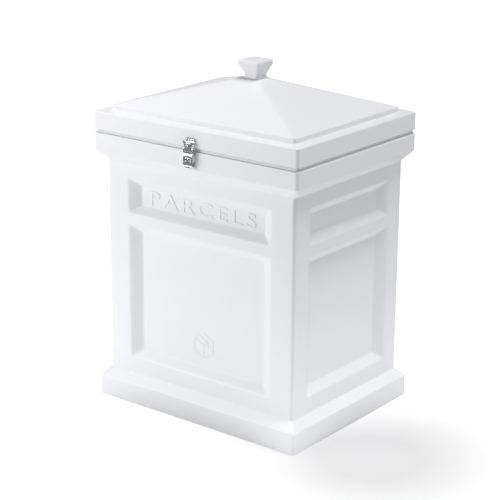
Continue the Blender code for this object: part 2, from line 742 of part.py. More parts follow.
def padlock_staple():
    shoulder = CLEARANCE + LATCH_PLATE + CLEARANCE
    tenon = STAPLE_TENON_HEIGHT / 2
    outline = [
        (STAPLE_TENON_DEPTH, STAPLE_Z - tenon),
        (shoulder, STAPLE_Z - tenon),
        (shoulder, STAPLE_Z - STAPLE_NOSE_RADIUS),
    ]
    outline += arc((STAPLE_EYE_DEPTH, STAPLE_Z), STAPLE_NOSE_RADIUS, -90, 90, 12)
    outline += [
        (shoulder, STAPLE_Z + STAPLE_NOSE_RADIUS),
        (shoulder, STAPLE_Z + tenon),
        (STAPLE_TENON_DEPTH, STAPLE_Z + tenon),
    ]
    half = STAPLE_THICKNESS / 2
    staple = prism("padlock_staple", outline, front_side_place, -half, half)
    eye = circle((STAPLE_EYE_DEPTH, STAPLE_Z), STAPLE_EYE_RADIUS, 20)
    combine(staple, "DIFFERENCE", prism(
        "staple_eye", eye, front_side_place, -half - 0.001, half + 0.001))
    return finish(staple, CHROME, 0.12, 1)


def lever_outline():
    """Front view of the lever: straight sides above a round lower end."""
    top = LATCH_PIVOT_Z - LEVER_TOP_DROP
    bottom = LATCH_PIVOT_Z - LEVER_BOTTOM_DROP - LEVER_LIP_HEIGHT
    shoulder = bottom + LEVER_ROUND_HEIGHT
    points = [(LEVER_HALF, top), (-LEVER_HALF, top)]
    for x, z in arc((0, 0), 1, 180, 360, 14):
        points.append((LEVER_HALF * x, shoulder + LEVER_ROUND_HEIGHT * z))
    return points


def window_outline():
    """Flat sill below a round arch."""
    sill = LATCH_PIVOT_Z - LEVER_WINDOW_BOTTOM_DROP
    spring = LATCH_PIVOT_Z - LEVER_WINDOW_TOP_DROP - LEVER_WINDOW_ARCH
    points = [(-LEVER_WINDOW_HALF, sill), (LEVER_WINDOW_HALF, sill)]
    for x, z in arc((0, 0), 1, 0, 180, 10):
        points.append((LEVER_WINDOW_HALF * x, spring + LEVER_WINDOW_ARCH * z))
    return points


def latch_lever():
    top = LATCH_PIVOT_Z - LEVER_TOP_DROP
    bend = LATCH_PIVOT_Z - LEVER_BOTTOM_DROP
    back = LEVER_PLATE_DEPTH
    front = LEVER_PLATE_DEPTH + LEVER_PLATE_THICKNESS
    section = [
        (back, top),
        (front, top),
        (front, bend + 0.001),
        (LEVER_LIP_DEPTH, bend - LEVER_LIP_HEIGHT * 0.7),
        (LEVER_LIP_DEPTH - 0.0008, bend - LEVER_LIP_HEIGHT),
        (back, bend - 0.0005),
    ]
    lever = prism("latch_lever", section, front_side_place, -LEVER_HALF - 0.001, LEVER_HALF + 0.001)
    combine(lever, "INTERSECT", prism("lever_shape", lever_outline(), front_place, 0, 0.03))
    boss = (LATCH_PIVOT_DEPTH, LATCH_PIVOT_Z)
    embed = front - LEVER_PLATE_THICKNESS / 2
    flange = arc(boss, LEVER_FLANGE_BOSS, 0, 180, 10)
    flange += [
        (LEVER_FLANGE_BACK_DEPTH, LATCH_PIVOT_Z - LEVER_TOP_DROP),
        (LEVER_FLANGE_BACK_DEPTH, LATCH_PIVOT_Z - LEVER_FLANGE_DROP + 0.006),
        (LEVER_FLANGE_BACK_DEPTH + 0.005, LATCH_PIVOT_Z - LEVER_FLANGE_DROP),
        (embed, LATCH_PIVOT_Z - LEVER_FLANGE_DROP),
        (embed, top - 0.0006),
        (LATCH_PIVOT_DEPTH + LEVER_FLANGE_BOSS, top + 0.0012),
    ]
    outer = LEVER_FLANGE_INNER_HALF + METAL
    spans = [(-outer, -LEVER_FLANGE_INNER_HALF), (LEVER_FLANGE_INNER_HALF, outer)]
    combine(lever, "UNION", prisms("lever_flanges", flange, front_side_place, spans))
    combine(lever, "DIFFERENCE", prism(
        "lever_window", window_outline(), front_place, back - 0.002, front + 0.002))
    bores = [(boss, LATCH_PIN_RADIUS), ((CLAW_PIN_DEPTH, CLAW_PIN_Z), CLAW_PIN_RADIUS)]
    for index, (centre, radius) in enumerate(bores):
        combine(lever, "DIFFERENCE", prisms(
            "lever_bore_%d" % index, circle(centre, radius + CLEARANCE), front_side_place,
            [(-LEVER_HALF - 0.001, LEVER_HALF + 0.001)]))
    return finish(lever, CHROME, 0.10, 1)


def latch_claw():
    back = CLAW_PLATE_BACK_DEPTH
    front = back + CLAW_PLATE_THICKNESS
    shoulder = LATCH_PIVOT_Z + CLAW_SHOULDER_RISE
    top = CROSSBAR_BOTTOM + CLAW_CROSSBAR
    outline = [
        (-CLAW_NECK_HALF, CLAW_PIN_Z),
        (CLAW_NECK_HALF, CLAW_PIN_Z),
        (CLAW_NECK_HALF, shoulder - 0.001),
        (CLAW_HALF, shoulder),
    ]
    outline.append((CLAW_HALF, top - CLAW_WING_HEIGHT))
    outline.append((CLAW_WING_HALF, top - CLAW_WING_EDGE))
    outline += arc((CLAW_WING_HALF - 0.0025, top - 0.0025), 0.0025, 0, 90, 4)
    outline += arc((0.0025 - CLAW_WING_HALF, top - 0.0025), 0.0025, 90, 180, 4)
    outline.append((-CLAW_WING_HALF, top - CLAW_WING_EDGE))
    outline.append((-CLAW_HALF, top - CLAW_WING_HEIGHT))
    outline.append((-CLAW_HALF, shoulder))
    outline.append((-CLAW_NECK_HALF, shoulder - 0.001))
    claw = prism("latch_claw", outline, front_place, back, front)
    knuckle_centre = (CLAW_PIN_DEPTH, CLAW_PIN_Z)
    span = [(-CLAW_NECK_HALF, CLAW_NECK_HALF)]
    combine(claw, "UNION", prisms(
        "claw_knuckle", circle(knuckle_centre, CLAW_KNUCKLE_RADIUS, 18), front_side_place, span))
    curl = [
        (front - CLAW_PLATE_THICKNESS / 2, top - 0.0028),
        (front + CLAW_CURL_DEPTH, top - 0.0008),
        (front + CLAW_CURL_DEPTH, top + 0.0004),
        (front - CLAW_PLATE_THICKNESS / 2, top - 0.0006),
    ]
    reach = CLAW_HALF - 0.003
    combine(claw, "UNION", prism("claw_curl", curl, front_side_place, -reach, reach))
    window = rounded_rectangle(
        (-CLAW_WINDOW_HALF, LATCH_PIVOT_Z + CLAW_WINDOW_BOTTOM_RISE),
        (CLAW_WINDOW_HALF, CROSSBAR_BOTTOM), 0.0015, 2)
    combine(claw, "DIFFERENCE", prism(
        "claw_window", window, front_place, back - 0.002, front + 0.0015))
    combine(claw, "DIFFERENCE", prisms(
        "claw_bore", circle(knuckle_centre, CLAW_PIN_RADIUS + CLEARANCE), front_side_place,
        [(-CLAW_NECK_HALF - 0.001, CLAW_NECK_HALF + 0.001)]))
    return finish(claw, CHROME, 0.12, 1)


def latch_keeper():
    bottom = LATCH_PIVOT_Z + KEEPER_BOTTOM_RISE
    ear_bottom = LATCH_PIVOT_Z + KEEPER_EAR_RISE
    top = LATCH_PIVOT_Z + KEEPER_TOP_RISE
    ear_radius = (top - ear_bottom) / 2
    outline = [(-KEEPER_TONGUE_HALF, bottom), (KEEPER_TONGUE_HALF, bottom)]
    outline.append((KEEPER_TONGUE_HALF, ear_bottom))
    outline += arc((KEEPER_EAR_HALF - ear_radius, ear_bottom + ear_radius), ear_radius, -60, 90, 7)
    outline += arc((ear_radius - KEEPER_EAR_HALF, ear_bottom + ear_radius), ear_radius, 90, 240, 7)
    outline.append((-KEEPER_TONGUE_HALF, ear_bottom))
    front = CLEARANCE + LATCH_PLATE
    keeper = prism("latch_keeper", outline, front_place, CLEARANCE, front)
    lip_start = KEEPER_NOSE_DEPTH - KEEPER_LIP_LENGTH
    nose = [
        (CLEARANCE + LATCH_PLATE / 2, NOSE_TOP - KEEPER_NOSE_ROOT),
        (front, NOSE_TOP - KEEPER_NOSE_ROOT),
        (KEEPER_NOSE_DEPTH, NOSE_TOP - KEEPER_NOSE_TIP),
        (KEEPER_NOSE_DEPTH, NOSE_TOP + KEEPER_LIP),
        (lip_start, NOSE_TOP + KEEPER_LIP),
        (lip_start - KEEPER_LIP, NOSE_TOP),
        (CLEARANCE + LATCH_PLATE / 2, NOSE_TOP),
    ]
    combine(keeper, "UNION", prism(
        "keeper_nose", nose, front_side_place, -KEEPER_NOSE_HALF, KEEPER_NOSE_HALF))
    combine(keeper, "DIFFERENCE", holes(
        "keeper_screw_holes", keeper_screw_places(), Vector((0, -1, 0)),
        SCREW_HOLE_RADIUS, -0.002, 0.006))
    return finish(keeper, CHROME, 0.12, 1)


def latch_fixings():
    out = Vector((0, -1, 0))
    seat = out * (CLEARANCE + LATCH_PLATE + CLEARANCE)
    for index, place in enumerate(latch_base_screw_places(), start=1):
        screw("latch_base_screw_%d" % index, place + seat, out)
    for index, place in enumerate(keeper_screw_places(), start=1):
        screw("keeper_screw_%d" % index, place + seat, out)
    reach = LEVER_FLANGE_INNER_HALF + METAL + CLEARANCE
    cross_pin(
        "latch_pivot_pin", front_side_place(LATCH_PIVOT_DEPTH, LATCH_PIVOT_Z, 0),
        LATCH_PIN_RADIUS, reach, 0.0022, 0.0007)
    cross_pin(
        "claw_pin", front_side_place(CLAW_PIN_DEPTH, CLAW_PIN_Z, 0),
        CLAW_PIN_RADIUS, reach, 0.0020, 0.0007)


# ---------------------------------------------------------------- pivots

def set_pivot(names, place):
    """Puts an empty on a joint axis and hangs the moving pieces from it."""
    pivot = bpy.data.objects.new(names[0] + "_pivot", None)
    pivot.location = place
    bpy.context.scene.collection.objects.link(pivot)
    for name in names:
        item = bpy.data.objects[name]
        item.parent = pivot
        item.matrix_parent_inverse = Matrix.Translation(-place)
    return pivot


def hang_moving_pieces():
    lid_pieces = ["lid_shell", "lid_liner", "lid_knob", "knob_bolt", "knob_washer", "latch_keeper"]
    lid_pieces += ["keeper_screw_1", "keeper_screw_2"]
    for side in ("left", "right"):
        lid_pieces.append("hinge_leaf_lid_" + side)
        lid_pieces += ["hinge_screw_lid_%s_%d" % (side, index) for index in (1, 2, 3)]
    set_pivot(lid_pieces, hinge_side_place(0, 0, 0))
    lever_pivot = set_pivot(
        ["latch_lever", "claw_pin"], front_side_place(LATCH_PIVOT_DEPTH, LATCH_PIVOT_Z, 0))
    claw_pivot = set_pivot(["latch_claw"], front_side_place(CLAW_PIN_DEPTH, CLAW_PIN_Z, 0))
    claw_pivot.parent = lever_pivot
    claw_pivot.matrix_parent_inverse = Matrix.Translation(-lever_pivot.location)


def main():
    clear_scene()
    body_shell()
    body_liner()
    lid_shell()
    lid_liner()
    knob()
    knob_fixing()
    hinges()
    latch_base()
    padlock_staple()
    latch_lever()
    latch_claw()
    latch_keeper()
    latch_fixings()
    hang_moving_pieces()


main()
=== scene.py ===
# Parcel drop box: fine moulded skins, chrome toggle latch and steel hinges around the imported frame
import json
import math

import bmesh
import bpy
from mathutils import Matrix, Vector


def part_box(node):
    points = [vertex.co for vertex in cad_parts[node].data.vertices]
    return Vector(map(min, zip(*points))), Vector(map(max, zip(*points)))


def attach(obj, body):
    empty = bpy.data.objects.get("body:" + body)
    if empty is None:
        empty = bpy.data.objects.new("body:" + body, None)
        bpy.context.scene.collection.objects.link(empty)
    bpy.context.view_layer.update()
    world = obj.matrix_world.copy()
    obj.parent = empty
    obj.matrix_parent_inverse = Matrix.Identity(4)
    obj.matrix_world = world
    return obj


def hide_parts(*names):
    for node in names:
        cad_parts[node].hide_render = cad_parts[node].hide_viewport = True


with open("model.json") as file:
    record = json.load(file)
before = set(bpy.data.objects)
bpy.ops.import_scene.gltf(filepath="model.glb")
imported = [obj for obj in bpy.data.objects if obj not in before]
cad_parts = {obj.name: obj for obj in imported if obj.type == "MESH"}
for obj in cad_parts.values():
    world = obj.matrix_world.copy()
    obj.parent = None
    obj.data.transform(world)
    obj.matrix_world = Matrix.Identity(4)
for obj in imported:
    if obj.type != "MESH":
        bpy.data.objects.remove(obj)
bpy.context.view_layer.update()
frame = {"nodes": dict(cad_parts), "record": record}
print("frame loaded:", len(frame["nodes"]), "nodes")

shellLow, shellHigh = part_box("body_shell")
linerLow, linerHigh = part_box("body_liner")
lidLow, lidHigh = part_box("lid_shell")
trayLow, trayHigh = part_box("lid_liner")
knobLow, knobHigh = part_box("lid_knob")
joints = {joint["name"]: joint for joint in frame["record"]["behaviour"]["joints"]}

rimHalf = Vector((shellHigh.x, shellHigh.y))
corniceTop = shellHigh.z
frontY = shellLow.y
backY = shellHigh.y


def newMaterial(name):
    material = bpy.data.materials.new(name)
    material.use_nodes = True
    return material, material.node_tree, material.node_tree.nodes["Principled BSDF"]


# an input takes a plain value, or the output socket that drives it
def feed(tree, node, inputs):
    for key, value in inputs.items():
        if isinstance(value, bpy.types.NodeSocket):
            tree.links.new(value, node.inputs[key])
        else:
            node.inputs[key].default_value = value


def addNode(tree, kind, output, inputs=None, **settings):
    node = tree.nodes.new(kind)
    for key, value in settings.items():
        setattr(node, key, value)
    feed(tree, node, inputs or {})
    return node.outputs[output]


def objectCoords(tree, stretch=(1, 1, 1)):
    coords = addNode(tree, "ShaderNodeTexCoord", "Object")
    return addNode(tree, "ShaderNodeMapping", "Vector", {"Vector": coords, "Scale": stretch})


def noiseOn(tree, vector, scale, detail=3.0, roughness=0.5):
    return addNode(tree, "ShaderNodeTexNoise", "Fac", {
        "Vector": vector, "Scale": scale, "Detail": detail, "Roughness": roughness})


def spread(tree, value, low, high, fromLow=0.3, fromHigh=0.7):
    return addNode(tree, "ShaderNodeMapRange", "Result", {
        "Value": value, "From Min": fromLow, "From Max": fromHigh, "To Min": low, "To Max": high})


def bumpFrom(tree, height, distance, strength, before=None):
    inputs = {"Height": height, "Distance": distance, "Strength": strength}
    if before:
        inputs["Normal"] = before
    return addNode(tree, "ShaderNodeBump", "Normal", inputs)


def tint(tree, value, dark, light):
    inputs = {"Factor": value, "A": (*dark, 1), "B": (*light, 1)}
    return addNode(tree, "ShaderNodeMix", "Result", inputs, data_type="RGBA")


plastic = {
    "shellColours": ((0.800, 0.808, 0.845), (0.835, 0.842, 0.880)),    # darker and paler patches
    "linerColours": ((0.745, 0.752, 0.775), (0.785, 0.792, 0.812)),
    "shellRoughness": (0.40, 0.50),
    "linerRoughness": (0.52, 0.64),
    "cloudScale": 5.0,       # broad patches of colour
    "speckleScale": 150.0,   # fine mottle over them
    "glossScale": 34.0,      # duller and shinier patches
    "peelScale": 420.0,      # orange peel, about 2 mm across
    "peelDepth": 0.00005,
    "grainScale": 1900.0,    # fine powder grain left by the mould
    "grainDepth": 0.00002,
    "wavinessScale": 7.0,    # slow pull of the cooling wall
    "wavinessDepth": 0.0007,
}


def makePlastic(name, colours, roughness):
    p = plastic
    material, tree, shader = newMaterial(name)
    vector = objectCoords(tree)
    cloud = noiseOn(tree, vector, p["cloudScale"], 4.0, 0.6)
    speckle = spread(tree, noiseOn(tree, vector, p["speckleScale"], 2.0), 0.0, 0.25)
    shade = addNode(tree, "ShaderNodeMath", "Value", {0: cloud, 1: 0.75, 2: speckle},
                    operation="MULTIPLY_ADD")
    gloss = noiseOn(tree, vector, p["glossScale"], 5.0, 0.65)
    normal = None
    for kind, detail, strength in (("waviness", 1.0, 0.6), ("peel", 2.0, 0.8), ("grain", 2.0, 0.7)):
        noise = noiseOn(tree, vector, p[kind + "Scale"], detail)
        normal = bumpFrom(tree, noise, p[kind + "Depth"], strength, normal)
    feed(tree, shader, {
        "Base Color": tint(tree, shade, *colours),
        "Roughness": spread(tree, gloss, *roughness),
        "Normal": normal,
        "IOR": 1.51,
        "Subsurface Weight": 0.08,
        "Subsurface Radius": (1.0, 0.95, 0.9),
        "Subsurface Scale": 0.004,
    })
    return material


metal = {
    "chromeColours": ((0.74, 0.75, 0.77), (0.90, 0.91, 0.93)),
    "chromeRoughness": (0.035, 0.11),
    "chromeCloudScale": 90.0,
    "smearStretch": (260, 260, 60),        # wipe marks run up the plates
    "scratchStretch": (9000, 9000, 220),
    "dentScale": 130.0,
    "steelColours": ((0.46, 0.465, 0.475), (0.62, 0.625, 0.635)),
    "steelRoughness": (0.22, 0.38),
    "leafGrain": (60, 900, 2200),          # brushed lines lie along X
    "turnedGrain": (1500, 1500, 1500),
}


def makeChrome(name):
    material, tree, shader = newMaterial(name)
    vector = objectCoords(tree)
    clouds = noiseOn(tree, vector, metal["chromeCloudScale"])
    smear = noiseOn(tree, objectCoords(tree, metal["smearStretch"]), 1.0, 4.0, 0.7)
    scratches = noiseOn(tree, objectCoords(tree, metal["scratchStretch"]), 1.0, 2.0)
    dents = bumpFrom(tree, noiseOn(tree, vector, metal["dentScale"], 1.0), 0.00012, 0.6)
    feed(tree, shader, {
        "Base Color": tint(tree, clouds, *metal["chromeColours"]),
        "Roughness": spread(tree, smear, *metal["chromeRoughness"]),
        "Normal": bumpFrom(tree, scratches, 0.000004, 0.35, dents),
        "Metallic": 1.0,
    })
    return material


def makeSteel(name, grain):
    material, tree, shader = newMaterial(name)
    brushed = noiseOn(tree, objectCoords(tree, grain), 1.0, 4.0, 0.7)
    feed(tree, shader, {
        "Base Color": tint(tree, brushed, *metal["steelColours"]),
        "Roughness": spread(tree, brushed, *metal["steelRoughness"]),
        "Normal": bumpFrom(tree, brushed, 0.00003, 0.5),
        "Metallic": 1.0,
    })
    return material


mouldedWhite = makePlastic("mouldedWhite", plastic["shellColours"], plastic["shellRoughness"])
linerWhite = makePlastic("linerWhite", plastic["linerColours"], plastic["linerRoughness"])
polishedChrome = makeChrome("polishedChrome")
brushedSteel = makeSteel("brushedSteel", metal["leafGrain"])
turnedSteel = makeSteel("turnedSteel", metal["turnedGrain"])
print("materials made")


# round the corners of an open line; radii matches points, 0 keeps a corner
def filletLine(points, radii, steps=5):
    line = [Vector(points[0])]
    for before, corner, after, radius in zip(points, points[1:], points[2:], radii[1:]):
        corner = Vector(corner)
        toBefore = Vector(before) - corner
        toAfter = Vector(after) - corner
        angle = toBefore.angle(toAfter)
        if radius == 0 or angle > math.pi - 0.02:
            line.append(corner)
            continue
        reach = min(radius / math.tan(angle / 2), 0.49 * toBefore.length, 0.49 * toAfter.length)
        rounding = reach * math.tan(angle / 2)
        middle = (toBefore.normalized() + toAfter.normalized()).normalized()
        centre = corner + middle * (rounding / math.sin(angle / 2))
        start = corner + toBefore.normalized() * reach - centre
        end = corner + toAfter.normalized() * reach - centre
        for step in range(steps + 1):
            line.append(centre + start.slerp(end, step / steps).normalized() * rounding)
    line.append(Vector(points[-1]))
    return line


# round every corner of a closed outline
def roundOutline(points, radius, steps=5):
    wrapped = [points[-1], *points, points[0]]
    radii = radius if isinstance(radius, (list, tuple)) else [radius] * len(points)
    return filletLine(wrapped, (0, *radii, 0), steps)[1:-1]


# part of a circle, or of an ellipse when its upright radius is given
def arcPoints(centre, radius, start, end, steps=12, upright=None):
    angles = [math.radians(start + (end - start) * step / steps) for step in range(steps + 1)]
    return [Vector((centre[0] + radius * math.cos(angle), centre[1] + (upright or radius) * math.sin(angle)))
            for angle in angles]


def rectangle(low, high):
    return [Vector(low), Vector((high[0], low[1])), Vector(high), Vector((low[0], high[1]))]


# rounded rectangle, anticlockwise, with extra points along its sides
def ringAround(halfX, halfY, radius, z, cornerSteps=8, sideSteps=10):
    corners = []
    for quarter, (signX, signY) in enumerate(((1, 1), (-1, 1), (-1, -1), (1, -1))):
        centre = Vector((signX * (halfX - radius), signY * (halfY - radius), z))
        corners.append([
            centre + radius * Vector((math.cos(angle), math.sin(angle), 0))
            for angle in ((quarter + step / cornerSteps) * math.pi / 2 for step in range(cornerSteps + 1))
        ])
    ring = []
    for corner, following in zip(corners, corners[1:] + corners[:1]):
        ring += corner
        ring += [corner[-1].lerp(following[0], step / sideSteps) for step in range(1, sideSteps)]
    return ring


# ring that follows the rim, set in from it
def rimRing(inset, radius, z, cornerSteps=8, sideSteps=10):
    return ringAround(rimHalf.x - inset, rimHalf.y - inset, radius, z, cornerSteps, sideSteps)


def onCircle(radius, turns, height):
    angle = 2 * math.pi * turns
    return Vector((radius * math.cos(angle), radius * math.sin(angle), height))


def linked(item):
    bpy.context.scene.collection.objects.link(item)
    return item


def addObject(name, mesh, material):
    mesh.materials.clear()
    mesh.materials.append(material)
    return linked(bpy.data.objects.new(name, mesh))


def objectFrom(name, builder, material):
    bmesh.ops.remove_doubles(builder, verts=builder.verts, dist=1e-7)
    bmesh.ops.recalc_face_normals(builder, faces=builder.faces)
    mesh = bpy.data.meshes.new(name)
    builder.to_mesh(mesh)
    builder.free()
    mesh.shade_smooth()
    return addObject(name, mesh, material)


def evaluatedMesh(item):
    bpy.context.view_layer.update()
    graph = bpy.context.evaluated_depsgraph_get()
    return bpy.data.meshes.new_from_object(item.evaluated_get(graph))


# faces from each ring to the next, and a cap at both ends
def skinOver(builder, rings):
    loops = [[builder.verts.new(point) for point in ring] for ring in rings]
    for lower, upper in zip(loops, loops[1:]):
        for step in range(len(lower)):
            after = (step + 1) % len(lower)
            builder.faces.new((lower[step], lower[after], upper[after], upper[step]))
    builder.faces.new(loops[0])
    builder.faces.new(loops[-1])


def addWeightedNormals(item):
    weighted = item.modifiers.new("weightedNormals", "WEIGHTED_NORMAL")
    weighted.keep_sharp = True
    weighted.weight = 60


def skinned(name, rings, material):
    builder = bmesh.new()
    skinOver(builder, rings)
    return objectFrom(name, builder, material)


def loft(name, rings, material):
    item = skinned(name, rings, material)
    addWeightedNormals(item)
    return item


# ride on a body and stand for CAD nodes
def settle(item, body, slot, *nodes):
    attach(item, body)
    if nodes:
        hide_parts(*nodes)
    return item


shell = {
    "plinthInset": 0.0019,
    "plinthHeight": 0.0545,
    "plinthSlopeTop": 0.076,
    "wallInset": 0.023,
    "wallTop": 0.631,
    "corniceBottom": 0.6565,
    "shelfInset": 0.048,
    "footInset": 0.060,       # the underside is open inside this
    "wall": 0.004,
    "corniceSlant": 0.0015,   # these two keep the wall as thick where it slopes
    "plinthSlant": 0.0016,
    "cornerRadius": 0.0085,
    "innerRadius": 0.005,
    "panelDepth": 0.0185,
    "bevelAcross": 0.030,
    "bevelUp": 0.0205,
    "panelHalf": (0.2225, 0.168),                  # front and back, then the sides
    "panels": ((0.119, 0.474), (0.502, 0.593)),    # foot and top of the lower and the upper panel
    "edgeSoftness": 0.13,     # share of the bevel that each edge takes to turn
    "mitreSoftness": 0.22,
    "cornerSteps": 8,
    "rowSpacing": 0.035,      # of the points up a flat panel
}


def softMin(a, b, reach):
    near = max(reach - abs(a - b), 0) / reach
    return min(a, b) - near * near * reach / 4


def softRamp(value, reach):
    if value <= -reach:
        return 0.0
    if value >= reach:
        return value
    return (value + reach) ** 2 / (4 * reach)


# how deep the panelled wall is pushed in at one point
def recessDepth(along, z, panelHalf):
    for bottom, top in shell["panels"]:
        middle, halfHeight = (bottom + top) / 2, (top - bottom) / 2
        across = (panelHalf - abs(along)) / shell["bevelAcross"]
        up = (halfHeight - abs(z - middle)) / shell["bevelUp"]
        if min(across, up) < -shell["edgeSoftness"]:
            continue
        share = softMin(across, up, shell["mitreSoftness"])
        ramp = softRamp(share, shell["edgeSoftness"]) - softRamp(share - 1, shell["edgeSoftness"])
        return shell["panelDepth"] * ramp
    return 0.0


# shares across a bevel, closer together where its edges turn
def bevelShares():
    soft = shell["edgeSoftness"]
    turnOut = [-soft + 2 * soft * step / 4 for step in range(5)]
    turnIn = [1 + share for share in turnOut]
    middle = [soft + (1 - 2 * soft) * step / 6 for step in range(1, 6)]
    return turnOut + middle + turnIn


# places along one wall, from its left corner to its right one
def faceColumns(panelHalf):
    bevel = [panelHalf - shell["bevelAcross"] * share for share in bevelShares()]
    flat = bevel[-1]
    middle = [flat * (-1 + 2 * step / 12) for step in range(1, 12)]
    panel = [("at", value) for value in [-value for value in bevel] + middle + bevel[::-1]]
    stile = (0.25, 0.6, 0.9, 1.0)      # shares of the way out to the corner
    return [("stile", share, -1) for share in stile[::-1]] + panel + [("stile", share, 1) for share in stile]


# one point of the skin; face 0 is the front, and the others follow anticlockwise
def wallPoint(face, column, inset, z, radius, push):
    turn = Matrix.Rotation(face * math.pi / 2, 3, "Z")
    halfAlong, halfOut = rimHalf[face % 2] - inset, rimHalf[1 - face % 2] - inset
    panelHalf = shell["panelHalf"][face % 2]
    if column[0] == "corner":
        angle = column[1] * math.pi / 2
        return turn @ Vector((halfAlong - radius + radius * math.sin(angle),
                              -halfOut + radius - radius * math.cos(angle), z))
    if column[0] == "stile":
        edge = panelHalf + shell["edgeSoftness"] * shell["bevelAcross"]
        along = column[2] * (edge + (halfAlong - radius - edge) * column[1])
    else:
        along = column[1]
    depth = recessDepth(along, z, panelHalf) if push else 0.0
    return turn @ Vector((along, -halfOut + depth, z))


def skinColumns():
    columns, steps = [], shell["cornerSteps"]
    for face in range(4):
        columns += [(face, column) for column in faceColumns(shell["panelHalf"][face % 2])]
        columns += [(face, ("corner", step / steps)) for step in range(1, steps)]
    return columns


def panelHeights():
    heights = []
    for bottom, top in shell["panels"]:
        rising = [bottom + shell["bevelUp"] * share for share in bevelShares()]
        falling = [top - shell["bevelUp"] * share for share in reversed(bevelShares())]
        gap = falling[0] - rising[-1]
        count = max(2, round(gap / shell["rowSpacing"]))
        heights += rising + [rising[-1] + gap * step / count for step in range(1, count)] + falling
    return heights


def bodySkin():
    s, w = shell, shell["wall"]
    outline = [
        (s["footInset"], 0), (s["plinthInset"], 0), (s["plinthInset"], s["plinthHeight"]),
        (s["wallInset"], s["plinthSlopeTop"]), (s["wallInset"], s["wallTop"]),
        (0, s["corniceBottom"]), (0, corniceTop), (s["shelfInset"], corniceTop),
        (s["shelfInset"], corniceTop - w),
    ]
    outer = filletLine(outline, (0, 0.003, 0.004, 0.006, 0.008, 0.005, 0.003, 0.0012, 0), 6)
    # the flat of the wall runs between the fillets at its foot and its top
    wallLow = max(p.y for p in outer if p.y < s["panels"][0][0])
    wallHigh = min(p.y for p in outer if p.y > s["panels"][1][1])
    lines = []
    for inset, z in outer:
        lines.append((inset, z))
        if abs(z - wallLow) < 1e-6:
            lines += [(s["wallInset"], height) for height in panelHeights() if wallLow < height < wallHigh]
    inner = [
        (w, corniceTop - w), (w, s["corniceBottom"] + s["corniceSlant"]),
        (s["wallInset"] + w, s["wallTop"] + s["corniceSlant"]),
        *((s["wallInset"] + w, height) for height in reversed(panelHeights())),
        (s["wallInset"] + w, s["plinthSlopeTop"] - s["plinthSlant"]),
        (s["plinthInset"] + w, s["plinthHeight"] - s["plinthSlant"]), (s["plinthInset"] + w, w),
        (s["footInset"], w),
    ]
    columns = skinColumns()
    rings = []
    for index, (inset, z) in enumerate(lines + inner):
        radius = s["innerRadius"] if index >= len(lines) - 2 else s["cornerRadius"]
        push = s["plinthSlopeTop"] < z < s["wallTop"]
        rings.append([wallPoint(face, column, inset, z, radius, push) for face, column in columns])
    return loft("bodyShell", rings, mouldedWhite)


settle(bodySkin(), "root", "moulded_shell", "body_shell")
print("body shell made")


liner = {
    "inset": 0.0485,
    "wall": 0.0035,
    "gap": 0.0003,                    # between the flange and the cornice
    "beadInset": (0.0034, 0.0062),    # foot and top of the bead that closes the seam
    "floorRadius": 0.007,
    "ribCount": 5,
    "ribWidth": 0.016,
    "ribEndGap": 0.035,
    "ribHeight": 0.0038,
}


def bodyLiner():
    outer, inner = liner["inset"], liner["inset"] + liner["wall"]
    low, top = linerLow.z, linerHigh.z
    floorTop = low + liner["wall"]
    flangeLow = corniceTop + liner["gap"]
    beadFoot, beadTop = liner["beadInset"]
    points = [
        (inner + 0.05, floorTop), (inner, floorTop), (inner, top), (beadTop, top),
        (beadFoot, flangeLow + 0.001), (beadFoot + 0.0008, flangeLow), (outer, flangeLow), (outer, low),
        (outer + 0.05, low),
    ]
    line = filletLine(points, (0, liner["floorRadius"], 0.002, 0.0022, 0.0008, 0, 0, 0.004, 0), 6)
    rings = [rimRing(inset, 0.006 if inset < outer else 0.005, z) for inset, z in line]
    return loft("bodyLiner", rings, linerWhite)


def floorRibs():
    half = rimHalf - Vector((1, 1)) * (liner["inset"] + liner["wall"])
    floorTop = linerLow.z + liner["wall"]
    pitch = 2 * half.x / (liner["ribCount"] + 1)
    width, reach = liner["ribWidth"] / 2, half.y - liner["ribEndGap"]
    high = liner["ribHeight"]
    profile = filletLine([(0, -0.001), (0, high), (0.006, high)], (0, 0.003, 0))
    builder = bmesh.new()
    for index in range(liner["ribCount"]):
        centre = Vector((-half.x + pitch * (index + 1), 0, 0))
        loops = []
        for inset, rise in profile:
            radius = max(0.0005, 0.0065 - inset)
            ring = ringAround(width - inset, reach - inset, radius, floorTop + rise, 6, 3)
            loops.append([point + centre for point in ring])
        skinOver(builder, loops)
    return objectFrom("floorRibs", builder, linerWhite)


settle(bodyLiner(), "root", "moulded_liner", "body_liner")
settle(floorRibs(), "root", "moulded_liner")
print("liner made")


lid = {
    "rimTop": 0.755,
    "stepInset": 0.031,
    "roofFoot": 0.768,
    "padShare": 0.1,
    "wall": 0.004,
    "cornerRadius": 0.0085,
    "hipRadius": 0.011,
    "roofRings": 14,
}


